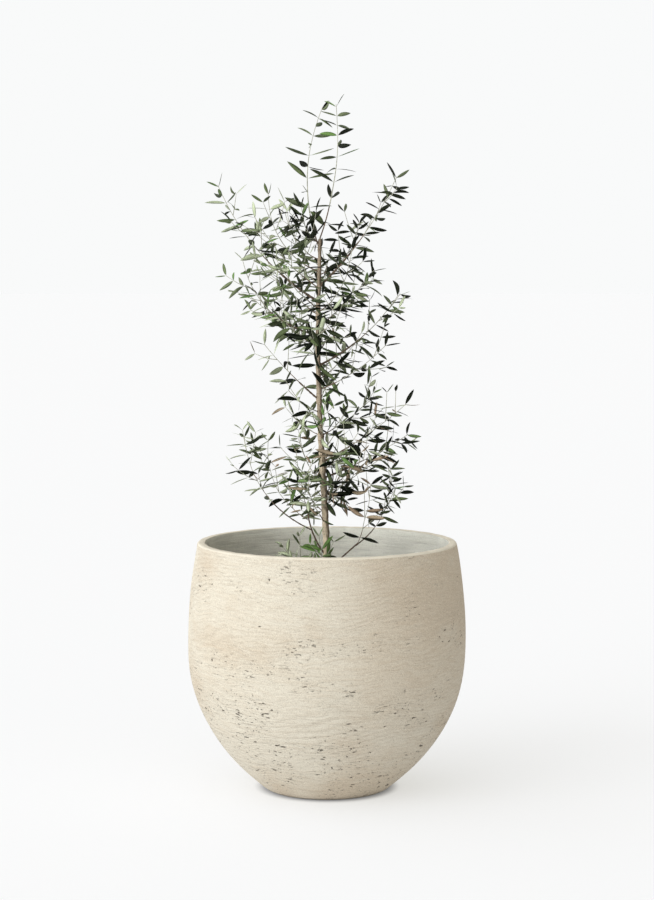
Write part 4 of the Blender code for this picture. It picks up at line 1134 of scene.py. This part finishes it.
def grow_leaves(dice, spray, curves, counts, first, size):
    """Opposite pairs of leaves on each curve, every pair a quarter turn from the one below.

    The heading is the tangent times the cosine of the spread plus a vector across the
    stem times its sine, with a part of its rise kept and some sag taken off, and leaves
    get shorter towards the tip."""
    which = np.repeat(np.arange(len(counts)), counts)
    number = np.arange(counts.sum()) - np.repeat(np.cumsum(counts) - counts, counts)
    age = number / np.maximum(counts[which] - 1, 1)
    at_tip = number == counts[which] - 1
    point, tangent = along(curves, which, first + (LAST_PAIR - first) * age**spray.closing)
    side, other = crosswise(tangent)
    drift = dice.normal(0, PAIR_TURN_SCATTER, len(which))
    start = dice.uniform(0, math.pi, len(counts))[which] + number * math.pi / 2 + drift
    spread = np.where(at_tip, BUD_SPREAD, math.radians(spray.spread))
    length = spray.length * size * np.where(at_tip, BUD_SIZE, 1 - YOUNG_SHRINK * age)

    def both(values):
        return np.concatenate([values, values])

    count = 2 * len(which)
    chance = np.cumsum(spray.colours)[:-1]
    colour = (dice.uniform(0, 100, (count, 1)) > chance).sum(1)
    turn = np.concatenate([start, start + math.pi]) + dice.uniform(-LEAF_TWIST, LEAF_TWIST, count)
    side, other, tangent = both(side), both(other), both(tangent)
    across = side * np.cos(turn)[:, None] + other * np.sin(turn)[:, None]
    angle = (both(spread) * dice.uniform(*LEAF_SPREADS, count))[:, None]
    heading = tangent * np.cos(angle) + across * np.sin(angle)
    kept = both(np.where(at_tip, 1.0, spray.rise))
    heading[:, 2] = heading[:, 2] * kept - dice.uniform(0, 1, count) * spray.sag
    heading = unit(heading)
    face = tangent * FACE_TO_TIP + dice.normal(0, FACE_SCATTER, (count, 3))
    face[:, 2] += FACE_UP
    edge = unit(np.cross(heading, face))
    length = both(length) * dice.uniform(*LEAF_LENGTHS, count)
    width = length * spray.width * dice.uniform(*LEAF_WIDTHS, count)
    curl, fold, roll = (dice.uniform(*ends, count) for ends in (LEAF_CURLS, LEAF_FOLDS, LEAF_ROLLS))
    bend = dice.normal(0, LEAF_BEND, count)
    face = np.cross(edge, heading)
    return Leaves(both(point), heading, face, length, width, curl, fold, roll, bend, colour)


def grow_shoot(tree, planter, limb, course, ends):
    """The stem of one limb, its side twigs and the leaves of both."""
    dice = np.random.default_rng((tree.seed, *limb.name.encode()))
    spray = SPRAYS[limb.spray]
    normal = plane_normals([limb])
    shares = np.linspace(0, 1, STEM_STEPS)
    stem = part_of(course, limb.bare, 1, STEM_STEPS)
    wave = np.sin(shares * dice.uniform(*STEM_WAVES) + dice.uniform(0, math.tau))
    stem = stem + normal * (STEM_SWAY * np.sin(shares * math.pi) * wave)[:, None]
    thick = ends[0] + (ends[1] - ends[0]) * (limb.bare + (1 - limb.bare) * shares)
    thick = np.maximum(thick * STEM_SLIMNESS, TIP_RADIUS)
    length = np.linalg.norm(np.diff(stem, axis=0), axis=1).sum()
    pairs = np.array([max(round(length / spray.between * limb.full), 2)])
    first = FIRST_PAIR / 2 if limb.bare else FIRST_PAIR
    on_stem = grow_leaves(dice, spray, stem[None], pairs, first, 1.0)

    step = np.arange(limb.twigs) + dice.uniform(*TWIG_SCATTER, limb.twigs)
    step = step / max(limb.twigs, 1)
    at = FIRST_TWIG + (LAST_TWIG - FIRST_TWIG) * step
    foot, tangent = along(stem[None], np.zeros(limb.twigs, int), at)
    side, other = crosswise(tangent)
    turn = dice.uniform(0, math.tau, (limb.twigs, 1))
    across = side * np.cos(turn) + other * np.sin(turn)
    heading = tangent * math.cos(TWIG_SPREAD) + across * math.sin(TWIG_SPREAD)
    length = dice.uniform(*TWIG_LENGTHS, limb.twigs)
    way = np.linspace(0, 1, TWIG_STEPS)[None, :, None] * length[:, None, None]
    lift = TWIG_LIFT * way**2 / length[:, None, None] * np.array([0, 0, 1.0])
    twigs = foot[:, None] + heading[:, None] * way + lift
    kept = clears(tree, planter, twigs[:, TWIG_FREE_FROM:])
    twigs, length = twigs[kept], length[kept]
    pairs = np.maximum(np.round(length / TWIG_BETWEEN * limb.full).astype(int), 2)
    on_twigs = grow_leaves(dice, spray, twigs, pairs, TWIG_BARE, TWIG_LEAF_SIZE)

    leaves = Leaves(*(np.concatenate(pair) for pair in zip(on_stem, on_twigs)))
    tip = leaves.root + leaves.heading * leaves.length[:, None]
    middle = (leaves.root + tip) / 2
    edge = np.cross(leaves.heading, leaves.face) * leaves.width[:, None] / 2
    kept = clears(tree, planter, np.stack([middle, middle + edge, middle - edge, tip], 1))
    return Shoot(stem, normal[0], thick, twigs, Leaves(*(values[kept] for values in leaves)))


def grow_shoots(tree, planter):
    """Every shoot, in the order of the limbs that carry leaves."""
    curves, radii = limb_curves()
    leafy = [limb for limb in LIMBS if limb.spray]
    return [grow_shoot(tree, planter, limb, curves[limb.name], radii[limb.name]) for limb in leafy]


def build_stems(tree, shoots):
    """The shoots' stems and their side twigs, brown at the foot and pale further out."""
    paths, normals = np.stack([s.stem for s in shoots]), np.stack([s.normal for s in shoots])
    stems = tube_points(paths, normals, np.stack([s.radii for s in shoots]), STEM_SIDES)
    count, rings = paths.shape[:2]
    walls, bottom, top = tube_faces(count, rings, STEM_SIDES)
    kinds = (np.arange(rings - 1) > WOODY_SHARE * rings).astype(int)
    kinds = np.tile(np.repeat(kinds, STEM_SIDES), count)
    kinds = np.concatenate([kinds, np.zeros(count), np.ones(count)])
    light, dark = shade(tree.bough, 1.7), shade(tree.twig, 0.62)
    woody = mottled_finish(
        "woody_shoot", light, tree.bough, 150.0, DRAWN_UP, (0.65, 0.85), 0.0003
    )
    green = mottled_finish("green_shoot", tree.twig, dark, 120.0, EVEN, (0.6, 0.8), 0.0002)
    stem_piece = make_piece("shoot_stems", stems, [walls, bottom, top], [woody, green], kinds)
    twigs = np.concatenate([s.twigs for s in shoots])
    normals = unit(np.cross(twigs[:, -1] - twigs[:, 0], np.array([0, 0, 1.0])))
    radii = np.linspace(*TWIG_RADII, TWIG_STEPS)[None].repeat(len(twigs), 0)
    points = tube_points(twigs, normals, radii, TWIG_SIDES)
    faces = tube_faces(len(twigs), TWIG_STEPS, TWIG_SIDES)
    return [stem_piece, make_piece("side_twigs", points, faces, [green])]


# Stations of a leaf from its stalk to its tip, and its half width at each of them.
LEAF_STATIONS = np.array([0.0, 0.055, 0.12, 0.26, 0.42, 0.58, 0.74, 0.88, 1.0])
LEAF_OUTLINE = np.array([0.07, 0.08, 0.42, 0.82, 1.0, 0.99, 0.82, 0.50, 0.04])
RIB_SHARE = 0.09  # of the half width that the rib has
LEAF_BODY = 0.011  # thickness as a share of the length
LEAF_THINNEST = 0.35  # of that thickness, where the leaf comes to a point
LEAF_SIDES = 5  # of the section: left edge, keel, right edge and both sides of the rib
# For each colour of leaf, how far its underside goes towards the plain underside, and the
# gloss of its upper side.
LEAF_SKINS = {
    "deep": (0.06, 0.08),
    "dark": (0.22, 0.14),
    "green": (0.50, 0.18),
    "silvery": (0.05, 0.18),
    "young": (0.35, 0.18),
    "dry": (-0.20, 0.08),
}


def leaf_points(leaves):
    """Five points round each station of every leaf: left edge, keel underneath, right edge
    and both sides of the rib.

    The station's middle is root + heading * t * length - face * curl * t^2 * length, bent
    aside by edge * bend * 4 t (1 - t) * length, and the section is turned about the heading
    by roll * t. Edges rise by the fold."""
    t = LEAF_STATIONS
    length, width = leaves.length[:, None], leaves.width[:, None]
    heading, face = leaves.heading[:, None], leaves.face[:, None]
    edge = np.cross(heading, face)
    under = leaves.curl[:, None] * t**2 * length
    aside = leaves.bend[:, None] * t * (1 - t) * 4 * length
    middle = leaves.root[:, None] + heading * (length * t)[..., None]
    middle = middle - face * under[..., None] + edge * aside[..., None]
    turn = (leaves.roll[:, None] * t)[..., None]
    c, s = np.cos(turn), np.sin(turn)
    edge, face = edge * c + face * s, face * c - edge * s
    half = (width / 2 * LEAF_OUTLINE)[..., None]
    body = LEAF_THINNEST + (1 - LEAF_THINNEST) * LEAF_OUTLINE
    thick = (length * LEAF_BODY * body)[..., None]
    rise = half * leaves.fold[:, None, None]
    left = middle - edge * half + face * rise
    right = middle + edge * half + face * rise
    rib_left = middle - edge * half * RIB_SHARE + face * thick / 2
    rib_right = middle + edge * half * RIB_SHARE + face * thick / 2
    keel = middle - face * thick / 2
    return np.stack([left, keel, right, rib_right, rib_left], axis=2)


def build_leaves(tree, shoots):
    """One piece for each colour of leaf, with a paler rib and underside."""
    leaves = Leaves(*(np.concatenate(values) for values in zip(*(s.leaves for s in shoots))))
    shoot = np.repeat(np.arange(len(shoots)), [len(s.leaves.root) for s in shoots])
    points = leaf_points(leaves)
    stations = len(LEAF_STATIONS)
    names = ["foliage_" + limb.name for limb in LIMBS if limb.spray]
    made = []
    for number, name in enumerate(COLOURS):
        mine = leaves.colour == number
        count = int(mine.sum())
        if not count:
            raise RuntimeError(f"no leaf is {name}")
        colour = np.array(getattr(tree, name))
        paleness, gloss = LEAF_SKINS[name]
        paler = colour + (np.array(tree.underside) - colour) * paleness
        skin = leaf_finish(name + "_leaf", colour, (0.42, 0.60), gloss)
        back = leaf_finish(name + "_underside", paler, (0.60, 0.80), 0.10)
        rib = leaf_finish(name + "_rib", (colour + paler) / 2, (0.50, 0.70), 0.10)
        walls, bottom, top = tube_faces(count, stations, LEAF_SIDES)
        column = np.tile(np.arange(LEAF_SIDES), count * (stations - 1))
        row = np.tile(np.repeat(np.arange(stations - 1), LEAF_SIDES), count)
        # The two lower sides are the underside, the one between the rib's points and the
        # stalk are the rib, and the rest is skin.
        kinds = np.where(column < 2, 1, np.where(column == 3, 2, 0))
        kinds = np.where(row == 0, 2, kinds)
        kinds = np.concatenate([kinds, np.full(2 * count, 2)])
        faces = [walls, bottom, top]
        piece = make_piece(name + "_leaves", points[mine], faces, [skin, back, rib], kinds)
        made.append((piece, [names[k] for k in np.unique(shoot[mine])]))
    return made


# ---- the stage: floor, light and camera ----

FLOOR_HALF = 60.0
FLOOR_DROP = 0.0002  # under the planter's foot
# The floor's painted contact shadow: its glow is lower within these radii round the foot.
FOOT_SHADE = (0.1225, 0.150)  # radii between which the floor's glow rises to full
CONTACT_GLOW = 0.30  # share of the glow where the foot stands
GLOW_TINT = (1.0, 1.0, 0.96)
GLOW_ON_OBJECT = 0.80  # of the glow that the camera sees
FILL_LEFT = 1.45  # of the fill's strength
FILL_RIGHT = 0.31  # of it, too
DIM_SIDE = math.radians(15)  # where the sky is dimmest, seen from above
SUN_WIDTH = math.radians(50)
SUN_TILT = math.radians(74)  # from straight down
SUN_TURN = math.radians(-52)
SENSOR_WIDTH = 36.0  # of the camera, in millimetres


def build_floor(stage):
    """A wide level sheet just under the planter's foot, with a painted contact shadow where they
    touch.
    """
    corner = np.array([[-1, -1], [1, -1], [1, 1], [-1, 1]]) * FLOOR_HALF
    points = np.concatenate([corner, np.full((4, 1), -FLOOR_DROP)], 1)
    f = Finish("pale_floor", 0.9, 0.0)
    f.shader.inputs["Emission Color"].default_value = (*GLOW_TINT, 1.0)
    seen = f.add("ShaderNodeLightPath").outputs["Is Camera Ray"]
    glow = f.span(seen, 0.0, 1.0, stage.floor_glow * GLOW_ON_OBJECT, stage.floor_glow)
    away = f.add("ShaderNodeVectorMath", operation="LENGTH")
    f.join(f.place, away.inputs[0])
    open_share = f.span(away.outputs["Value"], *FOOT_SHADE, CONTACT_GLOW)
    f.join(f.calc("MULTIPLY", glow, open_share), f.shader.inputs["Emission Strength"])
    tone = f.noise(f.place, 0.3, 2.0)
    finish = f.done(f.mixed(f.span(tone, 0.3, 0.7), stage.floor, shade(stage.floor, 0.998)))
    make_piece("floor", points, [np.array([[0, 1, 2, 3]])], [finish])


def build_light(scene, stage):
    """A soft sun from the front left over a light sky that is brighter on the left."""
    scene.view_settings.view_transform = "Standard"
    world = bpy.data.worlds.new("studio")
    scene.world = world
    world.use_nodes = True
    nodes, links = world.node_tree.nodes, world.node_tree.links
    lit = nodes["Background"]
    seen = nodes.new("ShaderNodeBackground")
    seen.inputs["Color"].default_value = (*stage.backdrop, 1)
    place = nodes.new("ShaderNodeTexCoord")
    turned = nodes.new("ShaderNodeVectorMath")
    turned.operation = "DOT_PRODUCT"
    turned.inputs[1].default_value = (math.cos(DIM_SIDE), math.sin(DIM_SIDE), 0.0)
    links.new(place.outputs["Generated"], turned.inputs[0])
    side = nodes.new("ShaderNodeMapRange")
    side.inputs["From Min"].default_value = -1.0
    links.new(turned.outputs["Value"], side.inputs["Value"])
    tint = nodes.new("ShaderNodeMix")
    tint.data_type = "RGBA"
    links.new(side.outputs[0], tint.inputs["Factor"])
    for socket, colour, share in ((6, stage.left, FILL_LEFT), (7, stage.right, FILL_RIGHT)):
        tint.inputs[socket].default_value = (*(c * share for c in colour), 1.0)
    links.new(tint.outputs[2], lit.inputs["Color"])
    lit.inputs["Strength"].default_value = stage.fill
    ray = nodes.new("ShaderNodeLightPath")
    mix = nodes.new("ShaderNodeMixShader")
    links.new(ray.outputs["Is Camera Ray"], mix.inputs["Fac"])
    links.new(lit.outputs[0], mix.inputs[1])
    links.new(seen.outputs[0], mix.inputs[2])
    links.new(mix.outputs[0], nodes["World Output"].inputs["Surface"])
    sun = bpy.data.lights.new("key", "SUN")
    sun.energy = stage.key
    sun.angle = SUN_WIDTH
    lamp = bpy.data.objects.new("key", sun)
    lamp.rotation_euler = (SUN_TILT, 0, SUN_TURN)
    scene.collection.objects.link(lamp)


def build_camera(scene, stage):
    """The camera in front of the planter, tilted down a little."""
    data = bpy.data.cameras.new("camera")
    data.lens = stage.lens
    data.sensor_width = SENSOR_WIDTH
    camera = bpy.data.objects.new("camera", data)
    camera.location = (0, -stage.distance, stage.camera_height)
    camera.rotation_euler = (math.pi / 2 - stage.tilt, 0, 0)
    scene.collection.objects.link(camera)
    scene.camera = camera


# ---- operators ----

# Where the random choices of each piece start. A shoot's start from its limb's name.
PLANTER_SEED = 11
SOIL_SEED = 12
TRUNK_SEED = 13
BOUGH_SEED = 14


class OLIVE_OT_planter(bpy.types.Operator):
    """Build the planter's wall, rim and inside"""

    bl_idname = "olive.planter"
    bl_label = "Planter"

    def execute(self, context):
        piece = build_planter(context.scene.olive_planter, np.random.default_rng(PLANTER_SEED))
        dress(piece, "travertine_stone", "planter")
        return {"FINISHED"}


class OLIVE_OT_soil(bpy.types.Operator):
    """Build the soil and the crumbs on it"""

    bl_idname = "olive.soil"
    bl_label = "Soil"

    def execute(self, context):
        dice = np.random.default_rng(SOIL_SEED)
        for build in (build_soil, build_crumbs):
            dress(build(context.scene.olive_planter, dice), "potting_soil", "soil")
        return {"FINISHED"}


class OLIVE_OT_wood(bpy.types.Operator):
    """Build the trunk and the boughs with their bark"""

    bl_idname = "olive.wood"
    bl_label = "Trunk and boughs"

    def execute(self, context):
        tree = context.scene.olive_tree
        dress(build_trunk(tree, np.random.default_rng(TRUNK_SEED)), "olive_bark", "trunk")
        dress(build_boughs(tree, np.random.default_rng(BOUGH_SEED)), "olive_bark", *bough_nodes)
        return {"FINISHED"}


class OLIVE_OT_foliage(bpy.types.Operator):
    """Grow the shoots: their stems, side twigs and leaves"""

    bl_idname = "olive.foliage"
    bl_label = "Foliage"

    def execute(self, context):
        scene = context.scene
        shoots = grow_shoots(scene.olive_tree, scene.olive_planter)
        for piece in build_stems(scene.olive_tree, shoots):
            dress(piece, "olive_bark", *foliage_nodes)
        for piece, nodes in build_leaves(scene.olive_tree, shoots):
            dress(piece, "olive_leaf", *nodes)
        return {"FINISHED"}


class OLIVE_OT_stage(bpy.types.Operator):
    """Set the floor, the light and the camera"""

    bl_idname = "olive.stage"
    bl_label = "Stage"

    def execute(self, context):
        stage = context.scene.olive_stage
        build_floor(stage)
        build_light(context.scene, stage)
        build_camera(context.scene, stage)
        return {"FINISHED"}


class OLIVE_PT_panel(bpy.types.Panel):
    """Lists the pieces of the olive tree and what can be changed"""

    bl_idname = "OLIVE_PT_panel"
    bl_label = "Olive tree"
    bl_space_type = "VIEW_3D"
    bl_region_type = "UI"
    bl_category = "Olive tree"

    def draw(self, context):
        for operator in OPERATORS:
            self.layout.operator(operator.bl_idname)
        for name, group in GROUPS.items():
            box = self.layout.box()
            for key in group.__annotations__:
                box.prop(getattr(context.scene, name), key)


GROUPS = {
    "olive_planter": OLIVE_PG_planter,
    "olive_tree": OLIVE_PG_tree,
    "olive_stage": OLIVE_PG_stage,
}
OPERATORS = (OLIVE_OT_planter, OLIVE_OT_soil, OLIVE_OT_wood, OLIVE_OT_foliage, OLIVE_OT_stage)


def register():
    """Adds the settings, the operators and the panel."""
    for item in (*GROUPS.values(), *OPERATORS, OLIVE_PT_panel):
        bpy.utils.register_class(item)
    for name, group in GROUPS.items():
        setattr(bpy.types.Scene, name, bpy.props.PointerProperty(type=group))


def unregister():
    """Takes them out again, the last first."""
    for name in GROUPS:
        delattr(bpy.types.Scene, name)
    for item in (OLIVE_PT_panel, *reversed(OPERATORS), *GROUPS.values()):
        bpy.utils.unregister_class(item)


def main():
    """Builds every piece in order."""
    register()
    bpy.ops.olive.planter()
    bpy.ops.olive.soil()
    bpy.ops.olive.wood()
    bpy.ops.olive.foliage()
    bpy.ops.olive.stage()
    bpy.context.view_layer.update()


if __name__ == "__main__":
    main()
